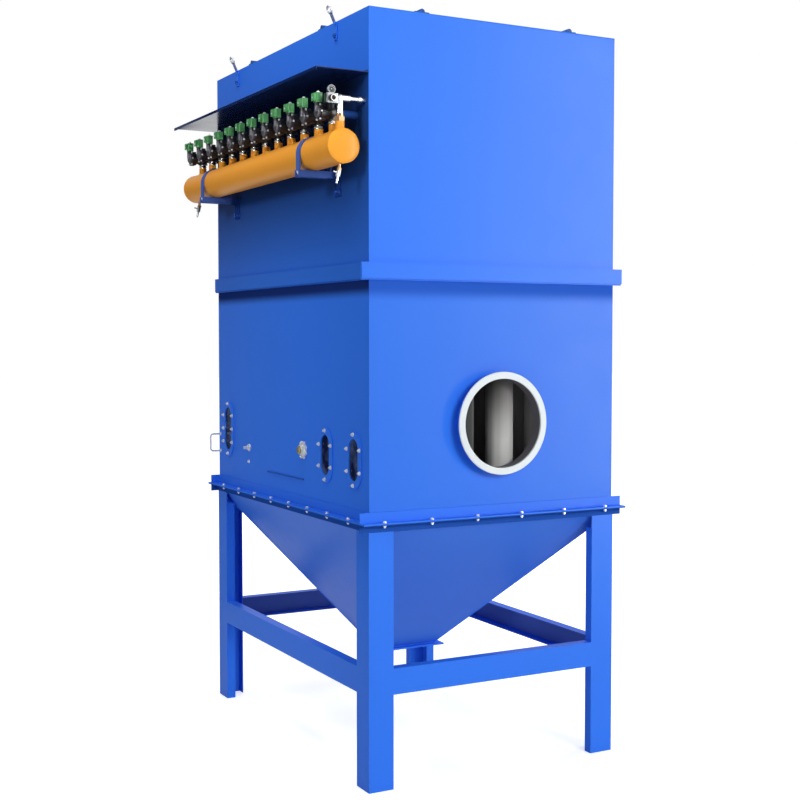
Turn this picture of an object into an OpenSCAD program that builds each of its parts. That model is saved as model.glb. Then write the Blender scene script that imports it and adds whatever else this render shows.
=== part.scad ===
// Baghouse dust collector with side inlet, pulse valves and a bolted hopper on four legs.
// +X is the width, +Y the depth away from the inlet face, +Z up. The origin is the
// centre of the footprint's bounding box, at floor level.

/* [Casing] */
// Outside width across the inlet face
body_w = 1340; // [1200:10:1700]
// Outside depth along the valve face
body_d = 1900; // [1800:10:2400]
// Height of the dusty-air casing, between its two flanges
casing_h = 1088; // [950:1:1400]
// Height of the upper casing, from the middle joint to the roof
plenum_h = 1192; // [1100:1:1500]
// Sheet thickness of the casing walls
wall_t = 4; // [3:0.5:8]
// Thickness of the roof plate
roof_t = 6; // [4:1:12]

/* [Hopper] */
// Drop from the hopper flange to its discharge
hopper_drop = 794; // [700:1:900]
// Straight skirt under the hopper flange
skirt_h = 30; // [15:1:60]
// Horizontal thickness of the hopper plates
hopper_t = 5; // [3:0.5:8]
// Discharge opening, across
discharge_w = 290; // [220:5:400]
// Discharge opening, front to back
discharge_d = 200; // [150:5:400]
// Width of the discharge flange
discharge_rim = 40; // [35:1:50]
// Thickness of the discharge flange
discharge_t = 8; // [6:1:12]
// Radius of the bolt holes in the discharge flange
discharge_hole_r = 6; // [4:0.5:8]

/* [Frame] */
// Height of the legs
leg_h = 1180; // [1050:1:1400]
// Width of each face of a leg
leg_w = 125; // [100:1:160]
// Plate thickness of legs and flange angles
plate_t = 5; // [4:0.5:8]
// Depth of the inturned lips of a leg
lip_w = 48; // [30:1:60]
// Height of the ring beams
beam_h = 120; // [80:1:160]
// Depth of the ring beams
beam_w = 53; // [40:1:70]
// Thickness of the ring beams
beam_t = 5.5; // [4:0.5:8]
// Height of the underside of the ring beams
beam_z = 435; // [420:1:600]

/* [Flanges] */
// Width of the bolted horizontal legs of the angles
angle_w = 50; // [40:1:70]
// Upstanding leg of the casing angle
angle_up = 50; // [40:1:70]
// Hanging leg of the hopper angle
angle_down = 40; // [30:1:60]
// Height of the middle joint's band
band_h = 78; // [50:1:110]
// Thickness of the middle joint's band
band_t = 15; // [8:1:25]
// How far the front band runs past the walls
band_over = 43; // [20:1:48]
// Height of the rebate along the band's lower edge
rebate_h = 6; // [4:1:10]
// How far the rebated edge stands out
rebate_out = 7; // [4:1:8]

/* [Inlet and outlet] */
// Inside radius of the dusty-air inlet
inlet_r = 208; // [150:1:230]
// Inside radius of the clean-air outlet
outlet_r = 200; // [150:1:220]
// Tube wall of both collars
collar_t = 4; // [3:0.5:6]
// How far both collars stand out
collar_reach = 62; // [55:1:100]
// Width of the ring on the inlet
inlet_rim = 32; // [26:1:50]
// Width of the flange on the outlet
outlet_rim = 38; // [32:1:50]
// Thickness of the collar flanges
collar_flange_t = 10; // [6:1:14]
// Height of the inlet's centre above the casing flange
inlet_rise = 434; // [380:1:560]
// Height of the outlet's centre below the roof
outlet_drop = 320; // [290:1:400]
// Bolt holes round each collar flange
collar_holes = 12; // [8:1:16]
// Radius of those bolt holes
collar_hole_r = 5; // [4:0.5:6]

/* [Lifting eyes] */
// Distance of the lifting eyes from the front and back walls
eye_inset = 330; // [200:1:500]
// Width of an eye's wall strap
eye_w = 30; // [24:1:50]
// Thickness of an eye's wall strap and radius of its bar
eye_t = 7; // [6:1:10]
// Length of the strap below the roof
eye_below = 80; // [70:1:150]
// Length of the leaning bar
eye_bar = 52; // [40:1:70]
// Radius of the ring's centre line
eye_r = 17; // [14:1:24]
// Radius of the ring's wire
eye_wire = 5.5; // [4:0.5:7]
// Lean of the bar away from the wall
eye_lean = 24; // [10:1:30]

/* [Rain canopy] */
// How far the canopy stands out from the wall
canopy_reach = 255; // [240:1:400]
// Depth of the canopy's underside below the roof
canopy_drop = 284; // [260:1:330]
// Sheet thickness of the canopy
canopy_t = 4; // [3:0.5:6]
// Downturned edge of the canopy
canopy_lip = 14; // [8:1:30]

/* [Air tank] */
// Outside radius of the air tank
tank_r = 75; // [60:1:80]
// Wall of the air tank
tank_t = 5; // [4:0.5:8]
// How far the tank runs past the end walls
tank_over = 2; // [0:1:40]
// Distance from the wall to the tank's axis
tank_off = 125; // [115:1:150]
// Depth of the tank's axis below the roof
tank_drop = 612; // [590:1:680]
// Depth of the front end dish
dish_front = 16; // [10:1:30]
// Depth of the back end dish
dish_back = 34; // [20:1:45]
// Distance of the tank clamps from the end valves, in valve spacings
clamp_rows = 1.35; // [1.3:0.05:1.7]
// Width of a clamp's arm
clamp_w = 44; // [30:1:60]
// Width of a clamp's strap
strap_w = 42; // [24:1:44]
// Plate thickness of the clamps
clamp_t = 5; // [4:1:8]

/* [Pulse valves] */
// Number of pulse valves and bag rows
valve_n = 12; // [8:1:12]
// Distance of the first and last valve from the end walls
row_inset = 103; // [100:1:150]
// Bore of the valve pipes, outside radius
pipe_r = 17; // [14:0.5:20]
// Height of the orange stubs above the tank
stub_h = 30; // [20:1:40]
// Height of the unions above the stubs
union_h = 18; // [14:1:26]
// Radius of a valve body
valve_r = 32; // [28:1:38]
// Length of a valve body along its pipe
valve_l = 76; // [50:1:80]
// Width of a coil
coil_w = 42; // [34:1:50]
// Height of a coil
coil_h = 42; // [28:1:46]
// Thickness of a valve's cover, and of the cap on it
cover_t = 14; // [8:1:16]
// How far the cover's rim stands out from the body
rim_out = 6; // [4:1:8]
// Bolt lugs round a cover
lug_n = 6; // [4:1:8]
// Radius of a bolt lug
lug_r = 5.5; // [4:0.5:7]
// Width of the plug on the outside of a coil
plug_w = 12; // [8:1:16]
// Height of the pilot's neck between body and coil
neck_h = 9; // [3:1:12]

/* [Filter bags] */
// Bags in one row
bag_n = 6; // [4:1:6]
// Distance of the first bag of a row from the left wall
bag_in_left = 88; // [80:1:150]
// Distance of the last bag of a row from the right wall
bag_in_right = 152; // [80:1:200]
// Outside radius of a bag
bag_r = 67.5; // [55:0.5:70]
// Cloth thickness of a bag
bag_t = 3; // [2:0.5:4]
// Length of a bag
bag_l = 1480; // [1300:1:1520]
// Depth of the tube sheet below the roof
sheet_drop = 650; // [640:1:700]

/* [Hand holes] */
// Width of the oval hand holes
oval_w = 92; // [70:1:100]
// Height of the front pair of hand holes
oval_h = 194; // [150:1:230]
// Height of the rear hand hole
oval_rear_h = 240; // [200:1:260]
// Width of the clamp ring round a hand hole
ring_w = 36; // [28:1:40]
// Thickness of the clamp rings
ring_t = 6; // [4:1:10]
// Distance of the first hand hole from the front wall
oval_front_in = 152; // [130:1:200]
// Distance of the second hand hole from the front wall
oval_mid_in = 458; // [400:1:520]
// Distance of the rear hand hole from the back wall
oval_rear_in = 153; // [130:1:200]
// Height of the front pair above the flange
oval_rise = 274; // [240:1:330]
// Height of the rear hand hole above the flange
oval_rear_rise = 324; // [240:1:380]

/* [Air supply] */
// Distance of the air supply from the first valve
supply_off = 66; // [64:1:76]
// Height of the branch above the tank's axis
supply_rise = 212; // [200:1:230]
// Radius of the supply nozzle
nozzle_r = 21; // [20:1:27]
// Height of the nozzle, and of the union nut on it
nozzle_h = 34; // [26:1:40]
// Radius of the riser
riser_r = 15; // [15:0.5:20]
// Length of the thick part of the branch
branch_l = 48; // [36:1:60]
// Radius of the thin pipe to the wall
thin_r = 9; // [7:0.5:11]
// Width of the regulator's body
reg_w = 56; // [44:1:64]
// Height of the regulator's body
reg_h = 42; // [34:1:48]
// Radius of the pressure gauge
gauge_r = 19; // [16:1:22]
// Radius of the drain cocks' nipples
drain_r = 7; // [6:0.5:10]
// Distance of the drain cocks from the tank's ends
drain_in = 44; // [36:1:60]
// Lean of the drain cocks
drain_lean = 13; // [0:1:20]

/* [Fittings] */
// Length of the rail on the valve face
rail_l = 460; // [400:10:600]
// Side of the rail's square bar
rail_s = 6; // [5:1:12]
// Height of the rail above the flange
rail_rise = 130; // [100:1:160]
// Distance of the level switch from the front wall
switch_in = 718; // [660:1:760]
// Height of the level switch above the flange
switch_rise = 279; // [240:1:320]
// Radius of the level switch's flange
switch_r = 46; // [38:1:52]
// Distance of the pressure tap from the back wall
tap_in = 466; // [420:1:520]
// Height of the pressure tap above the flange
tap_rise = 239; // [200:1:280]
// Radius of the pressure tap's pad
tap_r = 20; // [15:1:26]
// Distance of the bail from the back wall
bail_in = 24; // [16:1:40]
// Height of the bail's lower leg above the flange
bail_rise = 190; // [160:1:220]
// Height of the bail
bail_h = 96; // [80:1:120]
// How far the bail stands out
bail_reach = 62; // [50:1:80]
// Radius of the bail's bar
bail_r = 5; // [4:0.5:7]
// Distance of the front and back roof lugs from the sides
lug_in = 268; // [220:1:320]
// Distance of the side roof lugs from the front wall
lug_front_in = 495; // [400:1:520]
// Distance of the side roof lugs from the back wall
lug_back_in = 518; // [480:1:600]
// Length of a roof lug
lug_l = 74; // [50:1:90]
// Radius of a roof lug's rounded back
lug_back_r = 14; // [10:1:18]

/* [Hidden] */
$fn = 48;

blue = [0.17, 0.38, 0.93];
dark_blue = [0.10, 0.22, 0.60];
orange = [0.87, 0.53, 0.16];
silver = [0.78, 0.79, 0.80];
black = [0.07, 0.07, 0.08];
green = [0.27, 0.60, 0.36];
white = [0.95, 0.95, 0.94];
grey = [0.62, 0.62, 0.60];

half_w = body_w / 2;
half_d = body_d / 2;
flange_z = leg_h + angle_down;
joint_z = flange_z + casing_h;
roof_z = joint_z + plenum_h;
slope_z = flange_z - skirt_h;
discharge_z = flange_z - hopper_drop;
inlet_z = flange_z + inlet_rise;
outlet_z = roof_z - outlet_drop;
canopy_z = roof_z - canopy_drop;
tank_l = body_d + 2 * tank_over;
valve_pitch = (body_d - 2 * row_inset) / (valve_n - 1);
clamp_y = valve_y(valve_n - 1) - clamp_rows * valve_pitch;
tank_x = -half_w - tank_off;
tank_z = roof_z - tank_drop;
tank_front = -tank_l / 2;
tank_back = tank_l / 2;
stub_top = tank_z + tank_r + stub_h;
valve_z = stub_top + union_h + valve_r;
// a valve's outlet end stands past the tank's axis, towards the wall
body_end = tank_x + pipe_r + 4;
cover_x = body_end - valve_l - cover_t;
pilot_x = cover_x - 0.75 * cover_t;
pilot_r = 11;
cap_r = valve_r - 8;
rim_r = valve_r + rim_out;
barrel_r = valve_r - 4;
socket_r = pipe_r + 6;
coil_z = valve_z + valve_r + neck_h;
coil_d = coil_w - 6;
supply_y = valve_y(0) - supply_off;
supply_z = tank_z + supply_rise;
// blow pipes end in a rest on the far wall
rest_w = 46;
rest_h = 64;
rest_over = 14;
rest_x = half_w - wall_t - rest_w;
sheet_z = roof_z - sheet_drop;
// the canopy reaches furthest to the left, a lifting eye or the angles furthest to the right
eye_reach = eye_t + (eye_bar + 2 * eye_r) * sin(eye_lean) + eye_wire;
right_reach = max(angle_w, eye_reach);
origin_x = (canopy_reach - right_reach) / 2;

// lips stop below the sloping hopper plates, with this much room
lip_gap = 6;
slope_x = (half_w - discharge_w / 2) / (slope_z - discharge_z);
slope_y = (half_d - discharge_d / 2) / (slope_z - discharge_z);
lip_top = slope_z - (lip_w - plate_t + lip_gap) / min(slope_x, slope_y);

// hand holes on the valve face: place along Y, height of the centre, height of the oval
ovals = [
    [-half_d + oval_front_in, flange_z + oval_rise, oval_h],
    [-half_d + oval_mid_in, flange_z + oval_rise, oval_h],
    [half_d - oval_rear_in, flange_z + oval_rear_rise, oval_rear_h]
];
oval_fit = 4;

function valve_y(i) = (i - (valve_n - 1) / 2) * valve_pitch;
function bag_x(k) = -half_w + bag_in_left + k * (body_w - bag_in_left - bag_in_right) / (bag_n - 1);

module at_corner(sx, sy) {
    translate([sx * half_w, sy * half_d, 0])
        mirror([sx > 0 ? 1 : 0, 0, 0])
            mirror([0, sy > 0 ? 1 : 0, 0])
                children();
}

module both_ends() {
    children();
    mirror([0, 1, 0]) children();
}

module both_sides() {
    children();
    mirror([1, 0, 0]) children();
}

// a cylinder along +X or +Y
module rod_x(r, l) {
    rotate([0, 90, 0]) cylinder(r = r, h = l);
}

module rod_y(r, l) {
    rotate([-90, 0, 0]) cylinder(r = r, h = l);
}

// folded leg: two outer faces meeting at the corner, with inturned lips
module leg_section(with_lips) {
    translate([-plate_t, -plate_t]) {
        square([leg_w, plate_t]);
        square([plate_t, leg_w]);
        if (with_lips) {
            translate([leg_w - plate_t, 0]) square([plate_t, lip_w]);
            translate([0, leg_w - plate_t]) square([lip_w, plate_t]);
        }
    }
}

module leg(sx, sy) {
    color(blue) at_corner(sx, sy) {
        linear_extrude(lip_top) leg_section(true);
        translate([0, 0, lip_top]) linear_extrude(leg_h - lip_top) leg_section(false);
    }
}

// channel with its web outside at y = 0 and its flanges pointing to +Y
module channel(l) {
    translate([-l / 2, 0, 0]) {
        cube([l, beam_t, beam_h]);
        cube([l, beam_w, beam_t]);
        translate([0, 0, beam_h - beam_t]) cube([l, beam_w, beam_t]);
    }
}

module beam(side, span, reach) {
    color(blue) rotate(side) translate([0, -reach - plate_t, beam_z])
        channel(span + 2 * plate_t - 2 * leg_w);
}

// one plate of the hopper, mitred to its neighbours: a straight skirt, then the slope
module hopper_plate(side, top_half, top_reach, low_half, low_reach) {
    levels = [
        [flange_z, top_half, top_reach],
        [slope_z, top_half, top_reach],
        [discharge_z, low_half, low_reach]
    ];
    points = [for (v = levels)
        each [
            [-v[1], -v[2], v[0]],
            [v[1], -v[2], v[0]],
            [v[1] - hopper_t, -v[2] + hopper_t, v[0]],
            [-v[1] + hopper_t, -v[2] + hopper_t, v[0]]
        ]
    ];
    faces = concat(
        [[3, 2, 1, 0]],
        [for (k = [0, 4]) for (j = [0:3]) [k + j, k + (j + 1) % 4, k + 4 + (j + 1) % 4, k + 4 + j]],
        [[8, 9, 10, 11]]
    );
    color(blue) rotate(side) polyhedron(points, faces);
}

module discharge_flange() {
    out_w = discharge_w + 2 * discharge_rim;
    out_d = discharge_d + 2 * discharge_rim;
    color(blue) translate([0, 0, discharge_z - discharge_t]) difference() {
        translate([-out_w / 2, -out_d / 2, 0]) cube([out_w, out_d, discharge_t]);
        translate([-discharge_w / 2 + hopper_t, -discharge_d / 2 + hopper_t, -1])
            cube([discharge_w - 2 * hopper_t, discharge_d - 2 * hopper_t, discharge_t + 2]);
        for (sx = [-1, 1]) for (sy = [-1, 1])
            translate([sx * (discharge_w + discharge_rim) / 2, sy * (discharge_d + discharge_rim) / 2, -1])
                cylinder(r = discharge_hole_r, h = discharge_t + 2);
    }
}

// angle bar along X, heel at the origin, its legs pointing to -Y and up
module angle_bar(l, upstand) {
    translate([-l / 2, 0, 0]) {
        translate([0, -angle_w, 0]) cube([l, angle_w, plate_t]);
        translate([0, -plate_t, 0]) cube([l, plate_t, upstand]);
    }
}

module hopper_angles_ends() {
    color(blue) both_ends() translate([0, -half_d, flange_z])
        mirror([0, 0, 1]) angle_bar(body_w + 2 * angle_w, angle_down);
}

module hopper_angles_sides() {
    color(blue) both_sides() rotate(-90) translate([0, -half_w, flange_z])
        mirror([0, 0, 1]) angle_bar(body_d, angle_down);
}

module casing_angles_ends() {
    color(blue) both_ends() translate([0, -half_d, flange_z])
        angle_bar(body_w + 2 * angle_w, angle_up);
}

module casing_angles_sides() {
    color(blue) both_sides() rotate(-90) translate([0, -half_w, flange_z])
        angle_bar(body_d, angle_up);
}

// front and back walls run the full width, side walls fit between them
module end_wall(z, h) {
    translate([-half_w, -half_d, z]) cube([body_w, wall_t, h]);
}

module side_wall(z, h) {
    translate([-half_w, -half_d + wall_t, z]) cube([wall_t, body_d - 2 * wall_t, h]);
}

module casing_front() {
    color(blue) difference() {
        end_wall(flange_z, casing_h);
        translate([0, -half_d - 1, inlet_z]) rod_y(inlet_r, wall_t + 2);
    }
}

module casing_back() {
    color(blue) mirror([0, 1, 0]) end_wall(flange_z, casing_h);
}

// upright oval in the YZ plane, grown by g on every side
module oval_x(h, t, g) {
    r = oval_w / 2 + g;
    run = h - oval_w;
    for (s = [-1, 1]) translate([0, 0, s * run / 2]) rod_x(r, t);
    translate([0, -r, -run / 2]) cube([t, 2 * r, run]);
}

module at_ovals(t, g) {
    for (o = ovals) translate([-half_w, o[0], o[1]]) oval_x(o[2], t, g);
}

module casing_left() {
    color(blue) difference() {
        side_wall(flange_z, casing_h);
        translate([-1, 0, 0]) at_ovals(wall_t + 2, oval_fit);
    }
}

module casing_right() {
    color(blue) mirror([1, 0, 0]) side_wall(flange_z, casing_h);
}

module hand_hole_panes() {
    color(black) at_ovals(wall_t, oval_fit);
}

module hand_hole_rings() {
    color(blue) translate([-ring_t, 0, 0]) difference() {
        at_ovals(ring_t, ring_w);
        translate([-1, 0, 0]) at_ovals(ring_t + 2, 0);
    }
}

// round collar on an end wall, centred at height z, standing out to -Y
module collar_tube(r, z, l) {
    translate([0, -half_d - l, z]) difference() {
        rod_y(r + collar_t, l);
        translate([0, -1, 0]) rod_y(r, l + 2);
    }
}

// ring with its outer edges broken
module collar_ring(r, z, rim) {
    edge = 3;
    out = r + rim;
    translate([0, -half_d - collar_reach, z]) rotate([-90, 0, 0]) rotate_extrude() polygon([
        [r, 0], [out - edge, 0], [out, edge],
        [out, collar_flange_t - edge], [out - edge, collar_flange_t], [r, collar_flange_t]
    ]);
}

module inlet_collar() {
    color(blue) collar_tube(inlet_r, inlet_z, collar_reach - collar_flange_t);
}

module inlet_flange() {
    color(white) collar_ring(inlet_r, inlet_z, inlet_rim);
}

module outlet_collar() {
    pcd_r = outlet_r + outlet_rim / 2 + 2;
    color(blue) mirror([0, 1, 0]) difference() {
        union() {
            collar_tube(outlet_r, outlet_z, collar_reach - collar_flange_t);
            collar_ring(outlet_r, outlet_z, outlet_rim);
        }
        translate([0, -half_d - collar_reach - 1, outlet_z])
            for (i = [0:collar_holes - 1]) rotate([0, (i + 0.5) * 360 / collar_holes, 0])
                translate([pcd_r, 0, 0]) rod_y(collar_hole_r, collar_flange_t + 2);
    }
}

module wall_rail() {
    color(dark_blue) translate([-half_w - rail_s, -rail_l / 2 - rail_s, flange_z + rail_rise])
        cube([rail_s, rail_l, rail_s]);
}

// rotary level switch: scalloped flange, hexagon gland and a domed cap
module level_switch() {
    pad_t = 8;
    hex_t = 12;
    cap_l = 12;
    hex_r = 0.55 * switch_r;
    lobe_r = switch_r / 6;
    color(silver) translate([-half_w, -half_d + switch_in, flange_z + switch_rise]) rotate([0, -90, 0]) {
        linear_extrude(pad_t) union() {
            circle(r = switch_r - lobe_r);
            for (i = [0:7]) rotate((i + 0.5) * 45) translate([switch_r - lobe_r, 0]) circle(r = lobe_r);
        }
        translate([0, 0, pad_t - 2]) cylinder(r = hex_r, h = hex_t + 2, $fn = 6);
        translate([0, 0, pad_t + 2]) rotate_extrude() polygon([
            [0, 0], [hex_r - 5, 0], [hex_r - 5, hex_t + cap_l - 8], [hex_r - 11, hex_t + cap_l - 2],
            [0, hex_t + cap_l - 2]
        ]);
    }
}

// pressure tap: pad, hexagon and hose spigot
module pressure_tap() {
    pad_t = 6;
    hex_t = 10;
    spigot_l = 18;
    color(silver) translate([-half_w - pad_t, half_d - tap_in, flange_z + tap_rise]) {
        rod_x(tap_r, pad_t);
        translate([-hex_t, 0, 0]) rotate([0, 90, 0]) cylinder(r = 0.65 * tap_r, h = hex_t, $fn = 6);
        translate([-hex_t - spigot_l, 0, 0]) rod_x(0.4 * tap_r, spigot_l);
    }
}

// round bar bail with bent corners on the rear edge of the valve face
module pull_handle() {
    bend = 3 * bail_r;
    color(silver) translate([-half_w, half_d - bail_in, flange_z + bail_rise + bail_h / 2]) {
        for (s = [0, 1]) mirror([0, 0, s]) {
            translate([bend - bail_reach, 0, bail_h / 2]) rod_x(bail_r, bail_reach - bend);
            translate([bend - bail_reach, 0, bail_h / 2 - bend]) rotate([90, 0, 180])
                rotate_extrude(angle = 90) translate([bend, 0]) circle(r = bail_r);
            translate([-3, 0, bail_h / 2]) rod_x(2 * bail_r, 3);
        }
        translate([-bail_reach, 0, bend - bail_h / 2]) cylinder(r = bail_r, h = bail_h - 2 * bend);
    }
}

// flat bar round the middle joint, standing on the casing, with a rebated lower edge
module joint_band(l) {
    translate([-l / 2, -band_t, rebate_h]) cube([l, band_t, band_h - rebate_h]);
    translate([-l / 2, -rebate_out, 0]) cube([l, rebate_out, rebate_h]);
}

module joint_bands_ends() {
    color(blue) {
        translate([0, -half_d, joint_z]) joint_band(body_w + 2 * band_over);
        rotate(180) translate([0, -half_d, joint_z]) joint_band(body_w + 2 * band_t);
    }
}

module joint_bands_sides() {
    color(blue) both_sides() rotate(-90) translate([0, -half_w, joint_z]) joint_band(body_d);
}

module plenum_front() {
    color(blue) end_wall(joint_z, plenum_h);
}

module plenum_back() {
    color(blue) mirror([0, 1, 0]) difference() {
        end_wall(joint_z, plenum_h);
        translate([0, -half_d - 1, outlet_z]) rod_y(outlet_r, wall_t + 2);
    }
}

module plenum_left() {
    color(blue) difference() {
        side_wall(joint_z, plenum_h);
        for (i = [0:valve_n - 1])
            translate([-half_w - 1, valve_y(i), valve_z]) rod_x(pipe_r, wall_t + 2);
    }
}

// the far wall carries an angle whose upright leg holds the ends of the blow pipes
module plenum_right() {
    inner_d = body_d - 2 * wall_t;
    color(blue) {
        mirror([1, 0, 0]) side_wall(joint_z, plenum_h);
        difference() {
            translate([rest_x, -inner_d / 2, valve_z - rest_h / 2]) {
                cube([rest_w, inner_d, plate_t]);
                cube([plate_t, inner_d, rest_h]);
            }
            for (i = [0:valve_n - 1])
                translate([rest_x - 1, valve_y(i), valve_z]) rod_x(pipe_r, plate_t + 2);
        }
    }
}

module at_bags() {
    for (i = [0:valve_n - 1]) for (k = [0:bag_n - 1])
        translate([bag_x(k), valve_y(i), 0]) children();
}

module tube_sheet() {
    inner_w = body_w - 2 * wall_t;
    inner_d = body_d - 2 * wall_t;
    color(grey) translate([0, 0, sheet_z]) difference() {
        translate([-inner_w / 2, -inner_d / 2, 0]) cube([inner_w, inner_d, wall_t]);
        at_bags() translate([0, 0, -1]) cylinder(r = bag_r - bag_t - 2, h = wall_t + 2);
    }
}

module filter_bags() {
    color(grey) at_bags() translate([0, 0, sheet_z - bag_l]) difference() {
        cylinder(r = bag_r, h = bag_l, $fn = 32);
        translate([0, 0, bag_t]) cylinder(r = bag_r - bag_t, h = bag_l, $fn = 32);
    }
}

module roof_panel() {
    color(blue) translate([-half_w, -half_d, roof_z]) cube([body_w, body_d, roof_t]);
}

// clamp lugs along the roof edges: a foot with a rounded back
module roof_lug() {
    foot_t = 4;
    foot_w = 3 * lug_back_r;
    translate([-lug_l / 2, 0, 0]) cube([lug_l, foot_w, foot_t]);
    translate([0, 0, foot_t]) intersection() {
        rod_y(lug_back_r, foot_w);
        translate([-lug_l / 2, 0, -foot_t]) cube([lug_l, foot_w, lug_back_r + foot_t]);
    }
}

module roof_lugs() {
    color(dark_blue) translate([0, 0, roof_z + roof_t]) {
        both_ends() both_sides() translate([half_w - lug_in, -half_d, 0]) roof_lug();
        both_sides() for (y = [-half_d + lug_front_in, half_d - lug_back_in])
            translate([-half_w, y, 0]) rotate(-90) roof_lug();
    }
}

// bolted strap with a bar that leans outward and ends in a ring
module lifting_eye() {
    translate([-eye_t, -eye_w / 2, roof_z - eye_below]) cube([eye_t, eye_w, eye_below]);
    translate([-eye_t, 0, roof_z - eye_t]) rotate([0, -eye_lean, 0]) {
        cylinder(r = eye_t, h = eye_bar);
        translate([0, 0, eye_bar + eye_r]) rotate([0, 90, 0])
            rotate_extrude() translate([eye_r, 0]) circle(r = eye_wire, $fn = 16);
    }
}

module lifting_eyes() {
    color(silver) both_sides() for (sy = [-1, 1])
        translate([-half_w, sy * (half_d - eye_inset), 0]) lifting_eye();
}

module rain_canopy() {
    color(dark_blue) translate([-half_w - canopy_reach, -half_d, canopy_z]) {
        cube([canopy_reach, body_d, canopy_t]);
        translate([0, 0, canopy_t - canopy_lip]) cube([canopy_t, body_d, canopy_lip]);
    }
}

module tank_shell() {
    color(orange) translate([tank_x, tank_front, tank_z]) difference() {
        rod_y(tank_r, tank_l);
        translate([0, -1, 0]) rod_y(tank_r - tank_t, tank_l + 2);
    }
}

// dished end plate: an elliptical shell with its open side at z = 0
function dish_arc(r, depth, angles) = [for (a = angles) [r * cos(a), depth * sin(a)]];

module dished_end(depth) {
    rotate_extrude() polygon(concat(
        dish_arc(tank_r, depth, [0:10:90]),
        dish_arc(tank_r - tank_t, depth - tank_t, [90:-10:0])
    ));
}

module tank_ends() {
    color(orange) translate([tank_x, 0, tank_z]) {
        translate([0, tank_front, 0]) rotate([90, 0, 0]) dished_end(dish_front);
        translate([0, tank_back, 0]) rotate([-90, 0, 0]) dished_end(dish_back);
    }
}

// channel arm under the tank on a wall plate, with a rounded gusset, and a strap over the tank
module tank_bracket() {
    arm_reach = tank_off + tank_r + clamp_t + 6;
    arm_h = 32;
    plate_h = 112;
    plate_side = 8;
    gusset_r = 34;
    into_plate = 2;
    translate([-arm_reach, 0, 0]) rotate([90, 0, 90]) linear_extrude(arm_reach - into_plate) difference() {
        translate([-clamp_w / 2, -arm_h]) square([clamp_w, arm_h]);
        translate([-clamp_w / 2 + clamp_t, -arm_h - 1]) square([clamp_w - 2 * clamp_t, arm_h - clamp_t + 1]);
    }
    translate([-clamp_t, -clamp_w / 2 - plate_side, -plate_h])
        cube([clamp_t, clamp_w + 2 * plate_side, plate_h + plate_side]);
    translate([-into_plate, clamp_t / 2, 0]) rotate([90, 0, 0]) linear_extrude(clamp_t) difference() {
        translate([-gusset_r - clamp_t, -arm_h - gusset_r])
            square([gusset_r + clamp_t, arm_h + gusset_r - clamp_t + 2]);
        translate([-gusset_r - clamp_t, -arm_h - gusset_r]) circle(r = gusset_r);
    }
}

module tank_strap() {
    outer_r = tank_r + clamp_t;
    translate([-tank_off, strap_w / 2, tank_r]) rotate([90, 0, 0]) linear_extrude(strap_w) difference() {
        union() {
            circle(r = outer_r);
            translate([-outer_r, -tank_r]) square([2 * outer_r, tank_r]);
        }
        circle(r = tank_r);
        translate([-tank_r, -outer_r]) square([2 * tank_r, outer_r]);
        translate([-outer_r, -outer_r]) square([2 * outer_r, clamp_t]);
    }
}

module tank_clamps() {
    color(blue) for (sy = [-1, 1]) translate([-half_w, sy * clamp_y, tank_z - tank_r]) {
        tank_bracket();
        tank_strap();
    }
}

module at_valves() {
    for (i = [0:valve_n - 1]) translate([tank_x, valve_y(i), 0]) children();
}

module valve_stubs() {
    color(orange) at_valves() difference() {
        translate([0, 0, tank_z + tank_r / 2]) cylinder(r = pipe_r + 3, h = tank_r / 2 + stub_h);
        translate([0, -2 * pipe_r, tank_z]) rod_y(tank_r, 4 * pipe_r);
    }
}

module valve_unions() {
    color(silver) at_valves() translate([0, 0, stub_top]) {
        cylinder(r = pipe_r, h = union_h);
        translate([0, 0, 4]) cylinder(r = pipe_r + 5, h = union_h * 0.45, $fn = 6);
    }
}

// right-angle diaphragm valve about the line of its blow pipe: cap, barrel and outlet
// socket are turned, and a lobed plate makes the bolted cover and its seat
module valve_turning() {
    end = 2 * cover_t + valve_l;
    socket_l = 16;
    rotate([0, 90, 0]) rotate_extrude() polygon([
        [0, 0], [cap_r - 4, 0], [cap_r, 4], [cap_r, cover_t + 3], [barrel_r, cover_t + 3],
        [barrel_r, end - socket_l - 5], [socket_r, end - socket_l], [socket_r, end], [0, end]
    ]);
}

module valve_cover() {
    seat_t = 8;
    rib_t = 4;
    rib_in = cap_r - 3;
    translate([cover_t, 0, 0]) rotate([0, 90, 0]) linear_extrude(cover_t + seat_t) union() {
        circle(r = rim_r - 2);
        for (i = [0:lug_n - 1]) rotate((i + 0.5) * 360 / lug_n) translate([rim_r - 2, 0]) circle(r = lug_r);
    }
    for (i = [0:lug_n - 1]) rotate([i * 360 / lug_n + 30, 0, 0])
        translate([cover_t - 6, -rib_t / 2, rib_in]) cube([8, rib_t, rim_r - 6 - rib_in]);
}

// inlet socket on the union below, pilot above
module valve_body() {
    translate([cover_x - cover_t, 0, valve_z]) {
        valve_turning();
        valve_cover();
    }
    translate([pilot_x, 0, valve_z]) cylinder(r = pilot_r, h = valve_r + neck_h);
    translate([tank_x, 0, stub_top + union_h]) {
        cylinder(r = socket_r + 4, h = 9, $fn = 6);
        translate([0, 0, 3]) cylinder(r = socket_r, h = valve_r - 3);
    }
}

module valve_bodies() {
    color(black) for (i = [0:valve_n - 1]) translate([0, valve_y(i), 0]) valve_body();
}

// block with its upright edges rounded
module rounded_block(w, d, h, r) {
    translate([r, 0, 0]) cube([w - 2 * r, d, h]);
    translate([0, r, 0]) cube([w, d - 2 * r, h]);
    for (x = [r, w - r]) for (y = [r, d - r]) translate([x, y, 0]) cylinder(r = r, h = h);
}

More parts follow.
